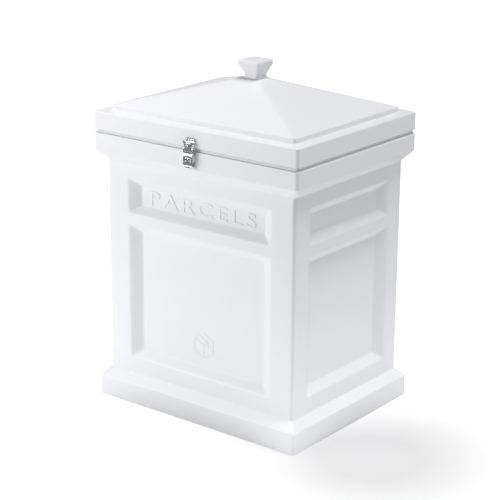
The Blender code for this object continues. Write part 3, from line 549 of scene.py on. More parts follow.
def lidSkin():
    wall, stepIn, rimTop = lid["wall"], lid["stepInset"], lid["rimTop"]
    foot, padShare = lid["roofFoot"], lid["padShare"]
    half = rimHalf - Vector((stepIn, stepIn))
    padTop = lidHigh.z
    rim = [(wall, lidLow.z), (0, lidLow.z), (0, rimTop), (stepIn, rimTop), (stepIn, foot),
           (stepIn + 0.012, foot + 0.0038)]
    innerRim = [(stepIn + wall, rimTop - wall), (wall, rimTop - wall)]
    rings = []
    for inset, z in filletLine(rim, (0, 0.0015, 0.0032, 0.003, 0.0028, 0), 6)[:-1]:
        rings.append(rimRing(inset, lid["cornerRadius"], z, 8, 12))
    for step in range(1, lid["roofRings"] + 1):
        share = 1 + (padShare - 1) * (step / lid["roofRings"]) ** 0.9
        rise = (1 - share) / (1 - padShare)
        radius = lid["cornerRadius"] + (lid["hipRadius"] - lid["cornerRadius"]) * min(1, rise * 4)
        radius = min(radius, half.y * share * 0.6)
        z = foot + (padTop - foot) * rise
        rings.append(ringAround(half.x * share, half.y * share, radius, z, 8, 12))
    inner = []
    for share, z in ((padShare, padTop - 0.0045), (1.0, foot - 0.0036)):
        size = half * share - Vector((0.001, 0.001))
        inner.append(ringAround(size.x, size.y, 0.003 + 0.002 * share, z, 8, 12))
    inner += [rimRing(inset, 0.005, z, 8, 12) for inset, z in innerRim]
    return loft("lidShell", inner + rings, mouldedWhite)


tray = {
    "plugInset": 0.055,
    "wall": 0.0035,
    "panelInset": 0.040,
    "panelDepth": 0.006,
}


# underside of the lid: a flange, a plug and a shallow sunk field
def lidTray():
    edge = rimHalf.x - trayHigh.x
    low, flangeLow, top = trayLow.z, trayLow.z + 0.012, trayHigh.z
    plug = tray["plugInset"]
    plugInner, panel = plug + tray["wall"], plug + tray["panelInset"]
    field = low + tray["panelDepth"]
    floor = field + tray["wall"]
    points = [
        (plugInner + 0.05, floor), (plugInner, floor), (plugInner, top), (edge, top), (edge, flangeLow),
        (plug, flangeLow), (plug, low), (panel, low), (panel + 0.010, field), (panel + 0.05, field),
    ]
    line = filletLine(points, (0, 0.002, 0.001, 0.0008, 0.0008, 0.002, 0.0035, 0.004, 0.004, 0), 6)
    rings = [rimRing(inset, 0.0055, z) for inset, z in line]
    return loft("lidTray", rings, linerWhite)


settle(lidSkin(), "lid", "moulded_shell", "lid_shell")
settle(lidTray(), "lid", "moulded_liner", "lid_liner")
print("lid made")


knob = {
    "footHalf": 0.0235,
    "neckHalf": 0.0200,
    "cornerRadius": 0.0048,
    "topRadius": 0.0035,
    "crown": 0.0010,
}


def knobSkin():
    low, high, topHalf = knobLow.z, knobHigh.z, knobHigh.x
    # foot flares out of a short neck, then widens to the top
    profile = [
        (knob["footHalf"], low), (knob["footHalf"], low + 0.0007), (knob["neckHalf"], low + 0.0042),
        (knob["neckHalf"] + 0.0008, low + 0.0095), (topHalf - 0.0006, low + 0.0335),
        (topHalf, high - knob["crown"]), (topHalf * 0.5, high), (0.004, high),
    ]
    line = filletLine(profile, (0, 0.0006, 0.006, 0.012, 0.006, knob["topRadius"], 0.02, 0), 6)
    rings = []
    for half, z in line:
        radius = min(knob["cornerRadius"], half * 0.6)
        rings.append(ringAround(half, half, radius, z, 8, 6))
    return loft("lidKnob", rings, mouldedWhite)


settle(knobSkin(), "lid", "moulded_shell", "lid_knob")
print("knob made")


# outlines in a flat plane, and where they go
def frontPlace(x, z, depth):
    return Vector((x, frontY - depth, z))


def sidePlace(depth, z, x):
    return Vector((x, frontY - depth, z))


def planPlace(x, depth, z):
    return Vector((x, frontY - depth, z))


def backPlace(x, z, depth):
    return Vector((x, backY + depth, z))


def plainPlace(x, y, z):
    return Vector((x, y, z))


def prism(name, outline, place, low, high, material):
    return skinned(name, [[place(u, v, w) for u, v in outline] for w in (low, high)], material)


# boolean the tools into the target and clear them away
def combine(target, operation, *tools):
    for tool in tools:
        step = target.modifiers.new(tool.name, "BOOLEAN")
        step.operation = operation
        step.object = tool
    made = evaluatedMesh(target)
    target.modifiers.clear()
    target.data = made
    for tool in tools:
        bpy.data.objects.remove(tool, do_unlink=True)
    return target


def cylinderTool(centre, along, radius, start, end, sides=24):
    turn = Vector(along).to_track_quat("Z", "Y").to_matrix()
    outline = arcPoints((0, 0), radius, 0, 360 - 360 / sides, sides - 1)
    return prism("tool", outline, lambda u, v, w: Vector(centre) + turn @ Vector((u, v, w)), start, end,
                 brushedSteel)


def roundEdges(item, width, segments=2):
    bevel = item.modifiers.new("roundedEdges", "BEVEL")
    bevel.width = width
    bevel.segments = segments
    bevel.limit_method = "ANGLE"
    bevel.angle_limit = math.radians(34)
    bevel.miter_outer = "MITER_ARC"
    item.data.shade_smooth()
    addWeightedNormals(item)
    return item


# a profile of (radius, height) turned about an axis
def turned(name, profile, centre, along, material, sides=32):
    turn = Vector(along).to_track_quat("Z", "Y").to_matrix()
    builder = bmesh.new()
    rings = []
    for radius, height in profile:
        count = sides if radius else 1
        rings.append([builder.verts.new(Vector(centre) + turn @ onCircle(radius, step / sides, height))
                      for step in range(count)])
    for lower, upper in zip(rings, rings[1:]):
        for step in range(sides):
            after = (step + 1) % sides
            corners = [lower[step % len(lower)], lower[after % len(lower)],
                       upper[after % len(upper)], upper[step % len(upper)]]
            builder.faces.new(list(dict.fromkeys(corners)))
    item = objectFrom(name, builder, material)
    item.data.set_sharp_from_angle(angle=math.radians(40))
    return item


# drops and rises are from the lever's pivot, depths from the face of the cornice
chromeLatch = {
    "edge": 0.00028,
    "plate": 0.0015,
    "gap": 0.0003,
    "pivotDepth": 0.0075,
    "pinDepth": 0.0085,
    "baseHalf": 0.0142,
    "baseHeight": 0.034,
    "earDrop": 0.0165,
    "earHalf": (0.0111, 0.0125),
    "earRadius": 0.004,
    "stapleHalf": 0.0015,
    "stapleDrop": 0.0212,
    "eyeDepth": 0.0156,
    "eyeRadius": 0.0031,
    "noseRadius": 0.0049,
    "leverHalf": 0.0144,
    "leverWall": 0.0014,
    "leverFace": (0.0115, 0.0128),
    "leverBow": 0.0012,
    "leverTopDrop": 0.0115,
    "leverCheekDrop": 0.0335,
    "leverBendDrop": 0.0425,
    "leverRound": 0.0125,
    "screwHole": 0.0018,
    "pinHole": 0.0016,
    "pivotHole": 0.0017,
    "windowDrop": (0.0303, 0.0140),
    "windowHalf": 0.0110,
    "windowArch": 0.0108,
    "clawPlate": (0.0098, 0.0110),
    "clawNeckHalf": 0.0108,
    "clawHalf": 0.0125,
    "wingHalf": 0.0162,
    "crossbar": 0.0040,
    "shoulderRise": 0.0055,
    "tongueHalf": 0.0102,
    "keeperEarHalf": 0.0152,
    "keeperRise": (0.0030, 0.0160, 0.0255),
    "noseRise": 0.0140,
    "noseRoot": 0.0050,
    "noseTip": 0.0030,
    "noseHalf": 0.0068,
    "keeperNoseDepth": 0.0126,
}
pivotZ = joints["lever_pivot"]["pos_m"][2]
clawPinZ = joints["claw_swing"]["pos_m"][2]
stapleZ = pivotZ - chromeLatch["stapleDrop"]
plateFront = chromeLatch["gap"] + chromeLatch["plate"]


def pierce(item, places, radius, start=-0.002, end=0.006, along=(0, -1, 0)):
    return combine(item, "DIFFERENCE", *[cylinderTool(place, along, radius, start, end) for place in places])


def crossBore(item, depth, z, radius):
    return pierce(item, [sidePlace(depth, z, 0)], radius, -0.017, 0.017, (1, 0, 0))


# where each screw goes through the plane at y, from its node
def screwPlaces(prefix, count, y):
    middles = [sum(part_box(prefix + str(number)), Vector()) / 2 for number in range(1, count + 1)]
    return [Vector((middle.x, y, middle.z)) for middle in middles]


def chromePrism(name, outline, place, low, high):
    return prism(name, outline, place, low, high, polishedChrome)


def latchBase():
    c = chromeLatch
    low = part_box("latch_base")[0].z
    top = low + c["baseHeight"]
    outline = roundOutline(rectangle((-c["baseHalf"], low), (c["baseHalf"], top)), 0.003, 6)
    base = chromePrism("latchBase", outline, frontPlace, c["gap"], plateFront)
    # an ear is round at the pivot and runs down the plate as a low flange
    root, front, foot = c["gap"] + c["plate"] / 2, plateFront + 0.0005, pivotZ - c["earDrop"]
    ear = arcPoints((c["pivotDepth"], pivotZ), c["earRadius"], -90, 90, 16)
    ear += [(front, pivotZ + c["earRadius"]), (front, top - 0.001), (root, top - 0.001), (root, foot),
            (0.0046, foot), (0.0046, pivotZ - c["earRadius"])]
    inner, outer = c["earHalf"]
    combine(base, "UNION", chromePrism("ear", ear, sidePlace, inner, outer),
            chromePrism("ear", ear, sidePlace, -outer, -inner))
    crossBore(base, c["pivotDepth"], pivotZ, c["pinHole"])
    pierce(base, screwPlaces("latch_base_screw_", 4, frontY), c["screwHole"])
    slot = rectangle((-0.0018, stapleZ - 0.0038), (0.0018, stapleZ + 0.0038))
    combine(base, "DIFFERENCE", chromePrism("slot", slot, frontPlace, -0.001, 0.003))
    return roundEdges(base, c["edge"])


def padlockStaple():
    c = chromeLatch
    back, shoulder, tenon, nose = 0.0006, plateFront + c["gap"], 0.0035, c["noseRadius"]
    outline = [(back, stapleZ - tenon), (shoulder, stapleZ - tenon), (shoulder, stapleZ - nose)]
    outline += arcPoints((c["eyeDepth"], stapleZ), nose, -90, 90, 24)
    outline += [(shoulder, stapleZ + nose), (shoulder, stapleZ + tenon), (back, stapleZ + tenon)]
    staple = chromePrism("padlockStaple", outline, sidePlace, -c["stapleHalf"], c["stapleHalf"])
    eye = cylinderTool(sidePlace(c["eyeDepth"], stapleZ, 0), (1, 0, 0), c["eyeRadius"], -0.004, 0.004, 40)
    combine(staple, "DIFFERENCE", eye)
    return roundEdges(staple, 0.0005, 3)


# folded channel above a rounded thumb lip, with an arched window
def latchLever():
    c = chromeLatch
    half, wall = c["leverHalf"], c["leverWall"]
    back, face = c["leverFace"]
    top = pivotZ - c["leverTopDrop"]
    cheekEnd = pivotZ - c["leverCheekDrop"]
    bend = pivotZ - c["leverBendDrop"]
    channel = roundOutline(
        [(-half, 0.002), (-half, face), (half, face), (half, 0.002),
         (half - wall, 0.002), (half - wall, back), (wall - half, back), (wall - half, 0.002)],
        (0, 0.0021, 0.0021, 0, 0, 0.0008, 0.0008, 0), 6)
    lever = chromePrism("latchLever", channel, planPlace, cheekEnd - 0.001, pivotZ + 0.006)
    cheekRound = 0.0039
    cheek = arcPoints((c["pivotDepth"], pivotZ), cheekRound, 0, 180, 20)
    cheek += roundOutline([
        (0.0030, top), (0.0030, cheekEnd + 0.006), (0.0080, cheekEnd), (0.0140, cheekEnd), (0.0140, top),
        (c["pivotDepth"] + cheekRound, top)], (0.004, 0.003, 0.002, 0, 0, 0.0003), 4)
    combine(lever, "INTERSECT", chromePrism("cheek", cheek, sidePlace, -0.02, 0.02))
    lip = filletLine([
        (face, cheekEnd + 0.0006), (face, bend + 0.001), (0.0156, bend - 0.0028), (0.0148, bend - 0.004),
        (back, bend - 0.0005), (back, cheekEnd + 0.0006)], (0, 0.003, 0.0006, 0.0006, 0.0015, 0), 5)
    tongue = chromePrism("tongue", lip, sidePlace, -0.02, 0.02)
    lipHalf = half - 0.0002
    front = [(lipHalf, cheekEnd + 0.002), (-lipHalf, cheekEnd + 0.002)]
    front += arcPoints((0, bend - 0.004 + c["leverRound"]), lipHalf, 180, 360, 28, c["leverRound"])
    combine(tongue, "INTERSECT", chromePrism("front", front, frontPlace, 0, 0.03))
    combine(lever, "UNION", tongue)
    sill, spring = pivotZ - c["windowDrop"][0], pivotZ - c["windowDrop"][1] - c["windowArch"]
    window = [(-c["windowHalf"], sill), (c["windowHalf"], sill)]
    window += arcPoints((0, spring), c["windowHalf"], 0, 180, 24, c["windowArch"])
    combine(lever, "DIFFERENCE", chromePrism("window", window, frontPlace, back - 0.002, face + 0.002))
    crossBore(lever, c["pivotDepth"], pivotZ, c["pivotHole"])
    crossBore(lever, c["pinDepth"], clawPinZ, c["pinHole"])
    bowFront(lever, cheekEnd, top, back, c["leverBow"])
    return roundEdges(lever, c["edge"])


# the front plate bellies out a little between its two ends
def bowFront(item, low, high, back, rise, slices=12):
    builder = bmesh.new()
    builder.from_mesh(item.data)
    for step in range(1, slices):
        cut = Vector((0, 0, low + (high - low) * step / slices))
        bmesh.ops.bisect_plane(builder, geom=builder.verts[:] + builder.edges[:] + builder.faces[:],
                               dist=1e-6, plane_co=cut, plane_no=(0, 0, 1))
    for vertex in builder.verts:
        along = (2 * vertex.co.z - low - high) / (high - low)
        if abs(along) < 1 and frontY - vertex.co.y > back - 0.0008:
            vertex.co.y -= rise * (1 - along ** 2)
    builder.to_mesh(item.data)
    builder.free()


# hook plate that swings on the lever and holds the keeper's nose in its window
def latchClaw():
    c = chromeLatch
    back, face = c["clawPlate"]
    neck, half, wing = c["clawNeckHalf"], c["clawHalf"], c["wingHalf"]
    barFoot = pivotZ + c["noseRise"] + 0.0007
    top = barFoot + c["crossbar"]
    shoulder = pivotZ + c["shoulderRise"]
    outline = roundOutline(
        [(-neck, clawPinZ), (neck, clawPinZ), (neck, shoulder - 0.001), (half, shoulder + 0.0003),
         (half, top - 0.0085), (wing, top - 0.004), (wing, top), (-wing, top), (-wing, top - 0.004),
         (-half, top - 0.0085), (-half, shoulder + 0.0003), (-neck, shoulder - 0.001)],
        (0, 0, 0.001, 0.0012, 0.003, 0.0018, 0.0025, 0.0025, 0.0018, 0.003, 0.0012, 0.001), 6)
    claw = chromePrism("latchClaw", outline, frontPlace, back, face)
    knuckle = arcPoints((c["pinDepth"], clawPinZ), 0.0026, 0, 345, 23)
    curlBack, curlFace = face - 0.0006, face + 0.0021
    curl = filletLine([(curlBack, top - 0.0030), (curlFace, top - 0.0010), (curlFace, top + 0.0003),
                       (curlBack, top - 0.0007)], (0, 0.0006, 0.0006, 0), 3)
    combine(claw, "UNION", chromePrism("knuckle", knuckle, sidePlace, -neck, neck),
            chromePrism("curl", curl, sidePlace, 0.003 - half, half - 0.003))
    window = roundOutline(rectangle((-0.0078, shoulder), (0.0078, barFoot)), 0.0015, 4)
    combine(claw, "DIFFERENCE", chromePrism("window", window, frontPlace, back - 0.002, face + 0.0012))
    crossBore(claw, c["pinDepth"], clawPinZ, c["pinHole"])
    return roundEdges(claw, c["edge"])


# catch plate on the lid: eared top, folded nose
def latchKeeper():
    c = chromeLatch
    bottom, earBottom, top = (pivotZ + rise for rise in c["keeperRise"])
    nose = pivotZ + c["noseRise"]
    root, tip = nose - c["noseRoot"], nose - c["noseTip"]
    earRadius = (top - earBottom) / 2
    half, ears = c["tongueHalf"], c["keeperEarHalf"] - earRadius
    outline = [(-half, bottom), (half, bottom), (half, earBottom - 0.0005)]
    outline += arcPoints((ears, earBottom + earRadius), earRadius, -60, 90, 14)
    outline += arcPoints((-ears, earBottom + earRadius), earRadius, 90, 240, 14)
    outline.append((-half, earBottom - 0.0005))
    keeper = chromePrism("latchKeeper", outline, frontPlace, c["gap"], plateFront)
    depth, inPlate = c["keeperNoseDepth"], c["gap"] + 0.0007
    profile = filletLine([
        (inPlate, root), (plateFront, root), (depth, tip), (depth, nose + 0.0003),
        (depth - 0.0008, nose + 0.0003), (depth - 0.0011, nose), (inPlate, nose)],
        (0, 0.002, 0.0012, 0.0003, 0.0002, 0, 0), 4)
    combine(keeper, "UNION", chromePrism("nose", profile, sidePlace, -c["noseHalf"], c["noseHalf"]))
    pierce(keeper, screwPlaces("keeper_screw_", 2, frontY), c["screwHole"])
    return roundEdges(keeper, c["edge"])


settle(latchBase(), "root", "latch_chrome", "latch_base")
settle(padlockStaple(), "root", "latch_chrome", "padlock_staple")
settle(latchLever(), "lever", "latch_chrome", "latch_lever")
settle(latchClaw(), "claw", "latch_chrome", "latch_claw")
settle(latchKeeper(), "lid", "latch_chrome", "latch_keeper")
print("latch made")


fixings = {
    "headRadius": 0.0032,
    "headHeight": 0.0015,
    "shankRadius": 0.0015,
    "coreRadius": 0.0011,
    "length": 0.012,
    "pitch": 0.0011,
    "slotWidth": 0.0009,
    "slotReach": 0.0019,
    "slotDepth": 0.0010,
    "pointLength": 0.0025,
    # shank radius, head radius and head height of each kind of pin
    "pivotPin": (0.0014, 0.0022, 0.0007),
    "clawPin": (0.0013, 0.0020, 0.0007),
    "hingePin": (0.0022, 0.0036, 0.0012),
}


# lip is the share of the dome's height that its upright side takes
def domeProfile(radius, height, lip, steps, power=1):
    angles = [math.pi / 2 * step / steps for step in range(steps)]
    return [(radius * math.cos(angle) ** power, height * (lip + (1 - lip) * math.sin(angle)))
            for angle in angles]


# cross pin along X, with a domed head at each end
def headedPin(name, node, kind):
    low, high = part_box(node)
    radius, headRadius, headHeight = fixings[kind]
    reach = (high.x - low.x) / 2 - headHeight
    dome = [(r, reach + h) for r, h in domeProfile(headRadius, headHeight, 0.25, 6)]
    profile = [(radius, reach), (headRadius - 0.0001, reach), *dome, (0, reach + headHeight)]
    mirrored = [(r, -h) for r, h in reversed(profile)]
    return turned(name, mirrored + profile, (low + high) / 2, (1, 0, 0), turnedSteel)


# pan head with a cross slot, on a threaded shank that points down -Z
def screwMesh():
    f = fixings
    sides, rows = 24, 40
    rings = []
    for row in range(rows + 1):
        down = f["length"] * row / rows
        taper = max(min(1, (f["length"] - down) / f["pointLength"]), 0.06)
        ring = []
        for step in range(sides):
            phase = (down / f["pitch"] + step / sides) % 1
            ridge = max(0, 1 - abs(2 * phase - 1) * 1.7) * min(1, row / 4)
            radius = (f["coreRadius"] + (f["shankRadius"] - f["coreRadius"]) * ridge) * taper
            ring.append(onCircle(radius, step / sides, -down))
        rings.append(ring)
    rings.reverse()
    head = [(f["headRadius"] - 0.0001, 0), (f["headRadius"], 0.0001)]    # flat seat and short side
    head += domeProfile(f["headRadius"], f["headHeight"], 0.3, 8, 0.6)
    for radius, height in head:
        rings.append([onCircle(radius, step / sides, height) for step in range(sides)])
    screw = skinned("screw", rings, turnedSteel)
    for across, along in ((f["slotWidth"], f["slotReach"]), (f["slotReach"], f["slotWidth"])):
        outline = rectangle((-across / 2, -along / 2), (across / 2, along / 2))
        combine(screw, "DIFFERENCE", prism("slot", outline, plainPlace, f["headHeight"] - f["slotDepth"],
                                           f["headHeight"] + 0.002, turnedSteel))
    screw.data.set_sharp_from_angle(angle=math.radians(40))
    mesh = screw.data
    bpy.data.objects.remove(screw, do_unlink=True)
    return mesh


def driveScrews():
    mesh = screwMesh()
    for body, names in frame["record"]["behaviour"]["bodies"].items():
        for node in (name for name in names if "screw" in name):
            low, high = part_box(node)
            atBack = low.y > 0
            seat = high.y - fixings["headHeight"] if atBack else low.y + fixings["headHeight"]
            parts = node.split("_")
            name = parts[0] + "".join(part.title() for part in parts[1:])
            screw = linked(bpy.data.objects.new(name, mesh))
            screw.location = ((low.x + high.x) / 2, seat, (low.z + high.z) / 2)
            # no two slots end up quite the same way round
            spin = 37 * int(parts[-1]) + (20 if "left" in node else 0) + (50 if body == "lid" else 0)
            lean = Matrix.Rotation(math.radians(-90 if atBack else 90), 4, "X")
            screw.rotation_euler = (lean @ Matrix.Rotation(math.radians(spin), 4, "Z")).to_euler()
            settle(screw, body, "steel_hardware" if atBack else "latch_chrome", node)


driveScrews()
settle(headedPin("latchPivotPin", "latch_pivot_pin", "pivotPin"), "root", "steel_hardware", "latch_pivot_pin")
settle(headedPin("clawPin", "claw_pin", "clawPin"), "lever", "steel_hardware", "claw_pin")
print("screws and pins made")


hinge = {
    "width": 0.076,
    "centreKnuckle": 0.026,
    "leafHeight": 0.0365,
    "leafThickness": 0.002,
    "barrelRadius": 0.0045,
    "boreRadius": 0.0025,
    "notch": 0.005,
    "gap": 0.0003,
    "cornerRadius": 0.003,
    "openDegrees": 100,
    "lugHalf": 0.006,
    "screwHole": 0.0018,
}
axisY, axisZ = joints["lid_hinge"]["pos_m"][1:]


def hingePlace(y, z, x):
    return Vector((x, axisY + y, axisZ + z))

# the lid's leaf lands on this lug when the lid is fully open
def stopLug(centre):
    turn = math.radians(hinge["openDegrees"])
    radius = hinge["barrelRadius"]
    along = Vector((math.sin(turn), math.cos(turn)))
    face = Vector((-math.cos(turn), math.sin(turn))) * (radius - hinge["leafThickness"] - hinge["gap"])
    outer, inner = along * 0.0132 + face, along * radius * 1.15 + face
    outline = [(0.001 - radius, -0.014), outer + Vector((-0.0008, -0.0033)), outer, inner,
               (0.2 * radius, -0.2 * radius), (0.001 - radius, -0.9 * radius)]
    half = hinge["lugHalf"]
    return prism("lug", outline, hingePlace, centre - half, centre + half, brushedSteel)


# upward is 1 for the leaf on the lid and -1 for the one on the body
def hingeLeaf(name, centre, upward):
    h = hinge
    half, middle, radius = h["width"] / 2, h["centreKnuckle"] / 2, h["barrelRadius"]
    near = axisZ + upward * h["notch"]
    far = near + upward * h["leafHeight"]
    outline = roundOutline(
        rectangle((centre - half, min(near, far)), (centre + half, max(near, far))), h["cornerRadius"], 8)
    leaf = prism(name, outline, backPlace, h["gap"], h["gap"] + h["leafThickness"], brushedSteel)
    spans = [(-middle, middle)] if upward < 0 else [(-half, -middle - h["gap"]), (middle + h["gap"], half)]
    reach = upward * h["notch"] * 1.6
    tab = rectangle((-radius, min(0, reach)), (h["leafThickness"] - radius, max(0, reach)))
    knuckle = arcPoints((0, 0), radius, 0, 350, 35)
    tools = [prism("knuckle", shape, hingePlace, centre + low, centre + high, brushedSteel)
             for low, high in spans for shape in (tab, knuckle)]
    if upward < 0:
        tools.append(stopLug(centre))
    combine(leaf, "UNION", *tools)
    bore = cylinderTool(hingePlace(0, 0, centre), (1, 0, 0), h["boreRadius"], -half - 0.002, half + 0.002, 32)
    combine(leaf, "DIFFERENCE", bore)
    side = "left" if centre < 0 else "right"
    part = "lid" if upward > 0 else "body"
    places = screwPlaces("hinge_screw_%s_%s_" % (part, side), 3, backY)
    pierce(leaf, places, h["screwHole"], along=(0, 1, 0))
    return roundEdges(leaf, 0.00035)


for side in ("left", "right"):
    pinNode = "hinge_pin_" + side
    centre = sum(corner.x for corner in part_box(pinNode)) / 2
    for part, body, upward in (("body", "root", -1), ("lid", "lid", 1)):
        leaf = hingeLeaf("hingeLeaf" + part.title() + side.title(), centre, upward)
        settle(leaf, body, "steel_hardware", "hinge_leaf_%s_%s" % (part, side))
    pin = headedPin("hingePin" + side.title(), pinNode, "hingePin")
    settle(pin, "root", "steel_hardware", pinNode)
print("hinges made")


relief = {
    "word": "PARCELS",
    "letterHeight": 0.036,
    "wordWidth": 0.330,
    "wordMiddle": 0.5475,
    "letterRise": 0.0022,
    "signMiddle": (0.004, 0.196),
    "signHeight": 0.068,
    "signLine": 0.0017,
    "signRise": 0.75,
}
panelY = frontY + shell["wallInset"] + shell["panelDepth"]


def meshFromCurve(curve):
    pattern = linked(bpy.data.objects.new(curve.name, curve))
    mesh = evaluatedMesh(pattern)
    bpy.data.objects.remove(pattern, do_unlink=True)
    return mesh


def raisedWord():
    r = relief
    curve = bpy.data.curves.new("raisedWord", "FONT")
    curve.body = r["word"]
    curve.align_x = "CENTER"
    curve.align_y = "CENTER"
    curve.size = r["letterHeight"] * 1.4
    curve.space_character = 1.25
    curve.extrude = r["letterRise"] / 2
    curve.bevel_depth = 0.0005
    curve.bevel_resolution = 2
    curve.offset = -0.0003
    curve.resolution_u = 6
    builder = bmesh.new()
    builder.from_mesh(meshFromCurve(curve))
    # the letters are stretched to the width and height they should have, and stood on the panel
    xs = [vert.co.x for vert in builder.verts]
    ys = [vert.co.y for vert in builder.verts]
    stretch = r["wordWidth"] / (max(xs) - min(xs))
    grow = r["letterHeight"] / (max(ys) - min(ys))
    for vert in builder.verts:
        x = (vert.co.x - (max(xs) + min(xs)) / 2) * stretch
        z = (vert.co.y - (max(ys) + min(ys)) / 2) * grow + r["wordMiddle"]
        vert.co = (x, panelY - vert.co.z, z)
    item = objectFrom("raisedWord", builder, mouldedWhite)
    item.data.set_sharp_from_angle(angle=math.radians(50))
    return item


# outline of a taped parcel seen from above one corner, in rounded bars
def parcelSign():
    r = relief
    unit = r["signHeight"] / 2
    wide = unit * math.cos(math.radians(30))
    top, bottom, centre = (0, unit), (0, -unit), (0, 0)
    upLeft, upRight = (-wide, unit / 2), (wide, unit / 2)
    downLeft, downRight = (-wide, -unit / 2), (wide, -unit / 2)
    strokes = [
        (top, upRight, downRight, bottom, downLeft, upLeft, top),
        (upLeft, centre, upRight), (centre, bottom),
        ((-wide / 2, unit * 0.75), (wide / 2, unit * 0.25), (wide / 2, unit * -0.12)),    # the tape
    ]
    curve = bpy.data.curves.new("parcelSign", "CURVE")
    curve.dimensions = "3D"
    curve.bevel_depth = r["signLine"]
    curve.bevel_resolution = 4
    curve.use_fill_caps = True
    for stroke in strokes:
        spline = curve.splines.new("POLY")
        spline.points.add(len(stroke) - 1)
        for point, (x, z) in zip(spline.points, stroke):
            point.co = (x, 0, z, 1)
    sign = addObject("parcelSign", meshFromCurve(curve), mouldedWhite)
    remesh = sign.modifiers.new("remesh", "REMESH")
    remesh.mode = "VOXEL"
    remesh.voxel_size = 0.0005
    remesh.use_smooth_shade = True
    soften = sign.modifiers.new("soften", "SMOOTH")
    soften.factor = 0.5
    soften.iterations = 4
    sign.location = (r["signMiddle"][0], panelY, r["signMiddle"][1])
    sign.scale = (1, r["signRise"], 1)
    return sign


settle(raisedWord(), "root", "moulded_shell")
settle(parcelSign(), "root", "moulded_shell")
print("raised word and sign made")


innerSteel = {
    "boltRadius": 0.003,
    "boltPitch": 0.001,
    "threadDepth": 0.0003,
    "headRadius": 0.0055,
    "headHeight": 0.004,
    "washerRadius": 0.011,
    "washerEdge": 0.0002,
    "washerGap": 0.0003,
}


def knobBolt():
    low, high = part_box("knob_bolt")
    radius, pitch, depth = innerSteel["boltRadius"], innerSteel["boltPitch"], innerSteel["threadDepth"]
    sides = 24
    seat = low.z + innerSteel["headHeight"]
    rows = round((high.z - seat) / (pitch / 4))
    rings = []
    for row in range(rows + 1):
        rise = (high.z - seat) * row / rows
        height = min(seat - 0.001 + rise, high.z)
        ring = []
        for step in range(sides):
            phase = (rise / pitch + step / sides) % 1
            # plain at both ends
            thread = radius - depth * abs(2 * phase - 1) if 3 < row < rows - 2 else radius - depth
            ring.append(onCircle(thread, step / sides, height))
        rings.append(ring)
    shank = skinned("shank", rings, turnedSteel)
    hexagon = arcPoints((0, 0), innerSteel["headRadius"], 0, 300, 5)
    bolt = prism("knobBolt", hexagon, plainPlace, low.z, seat, turnedSteel)
    crown = turned("crown", [(0, low.z - 0.001), (0.0038, low.z - 0.001), (0.0062, low.z + 0.0012),
                             (0.0062, seat + 0.001), (0, seat + 0.001)], (0, 0, 0), (0, 0, 1), turnedSteel)
    combine(bolt, "INTERSECT", crown)
    combine(bolt, "UNION", shank)
    bolt.data.set_sharp_from_angle(angle=math.radians(35))
    return bolt


def knobWasher():
    low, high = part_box("knob_washer")
    outer, edge = innerSteel["washerRadius"], innerSteel["washerEdge"]
    inner = innerSteel["boltRadius"] + innerSteel["washerGap"]
    profile = [(inner, low.z + edge), (inner + edge, low.z), (outer - edge, low.z), (outer, low.z + edge),
               (outer, high.z - edge), (outer - edge, high.z), (inner + edge, high.z), (inner, high.z - edge),
               (inner, low.z + edge)]
    return turned("knobWasher", profile, (0, 0, 0), (0, 0, 1), turnedSteel, 48)


settle(knobBolt(), "lid", "steel_hardware", "knob_bolt")
settle(knobWasher(), "lid", "steel_hardware", "knob_washer")
print("lid fixings made")


view = {
    "azimuth": 37.72,
    "elevation": 17.70,
    "distance": 4.169,
    "target": (-0.0084, -0.0065, 0.393),
    "lens": 118.1,
    "roll": 0.40,
}


def placeCamera():
    azimuth, elevation = math.radians(view["azimuth"]), math.radians(view["elevation"])
    target = Vector(view["target"])
    outward = Vector((
        math.sin(azimuth) * math.cos(elevation),
        -math.cos(azimuth) * math.cos(elevation),
        math.sin(elevation)))
    data = bpy.data.cameras.new("camera")
    data.lens = view["lens"]
    data.sensor_width = 36
    data.clip_end = 60
    camera = linked(bpy.data.objects.new("camera", data))
    camera.location = target + outward * view["distance"]
    turn = (-outward).to_track_quat("-Z", "Y").to_matrix()
    roll = Matrix.Rotation(math.radians(view["roll"]), 3, "Z")
    camera.rotation_euler = (turn @ roll).to_euler()
    bpy.context.scene.camera = camera


studio = {
    "floorSize": 40.0,
    "floorColour": (0.47, 0.47, 0.472),
    "floorGlow": (0.24, 0.85),         # glow in the painted shadow beside the box, and beyond it
    "shadeCentre": (0.46, -0.14, 0.0),
    "shadeReach": (0.12, 0.60),
    "bounce": ((0.0, 0.2), (0.30, 0.2), (0.50, 1.16), (0.80, 1.16), (1.20, 0.0)),
    "floorInChrome": (0.02, 0.26),     # how dark and how pale the floor looks in the metal
    "skyInChrome": (0.03, 1.6),
    "skyDirection": (-0.50, -0.62, -1.1),
    "world": (0.04, 0.42),             # towards the front right corner, and away from it
    "roomDirection": (-0.62, 0.78, 0.2),
    "coolness": (0.965, 0.975, 1.0),
    "backdrop": 1.2,                   # what the camera sees past the floor
    "keyDirection": (-0.30, -0.38, 0.165),
    "keyTarget": (0, 0, 0.45),
    "keyDistance": 2.4,
    "keySize": 1.4,
    "keyPower": 30.0,
    "suns": {                          # direction to the light, strength, spread in degrees
        "topLight": ((0.07, 0.01, 0.30), 2.2, 26),
        "backLight": ((0.15, 0.10, 0.075), 0.38, 50),
    },
}


def background(tree, colour, strength):
    return addNode(tree, "ShaderNodeBackground", "Background", {"Color": (*colour, 1), "Strength": strength})


def mixByRay(tree, ray, first, second):
    isRay = addNode(tree, "ShaderNodeLightPath", ray)
    return addNode(tree, "ShaderNodeMixShader", "Shader", {"Fac": isRay, 1: first, 2: second})


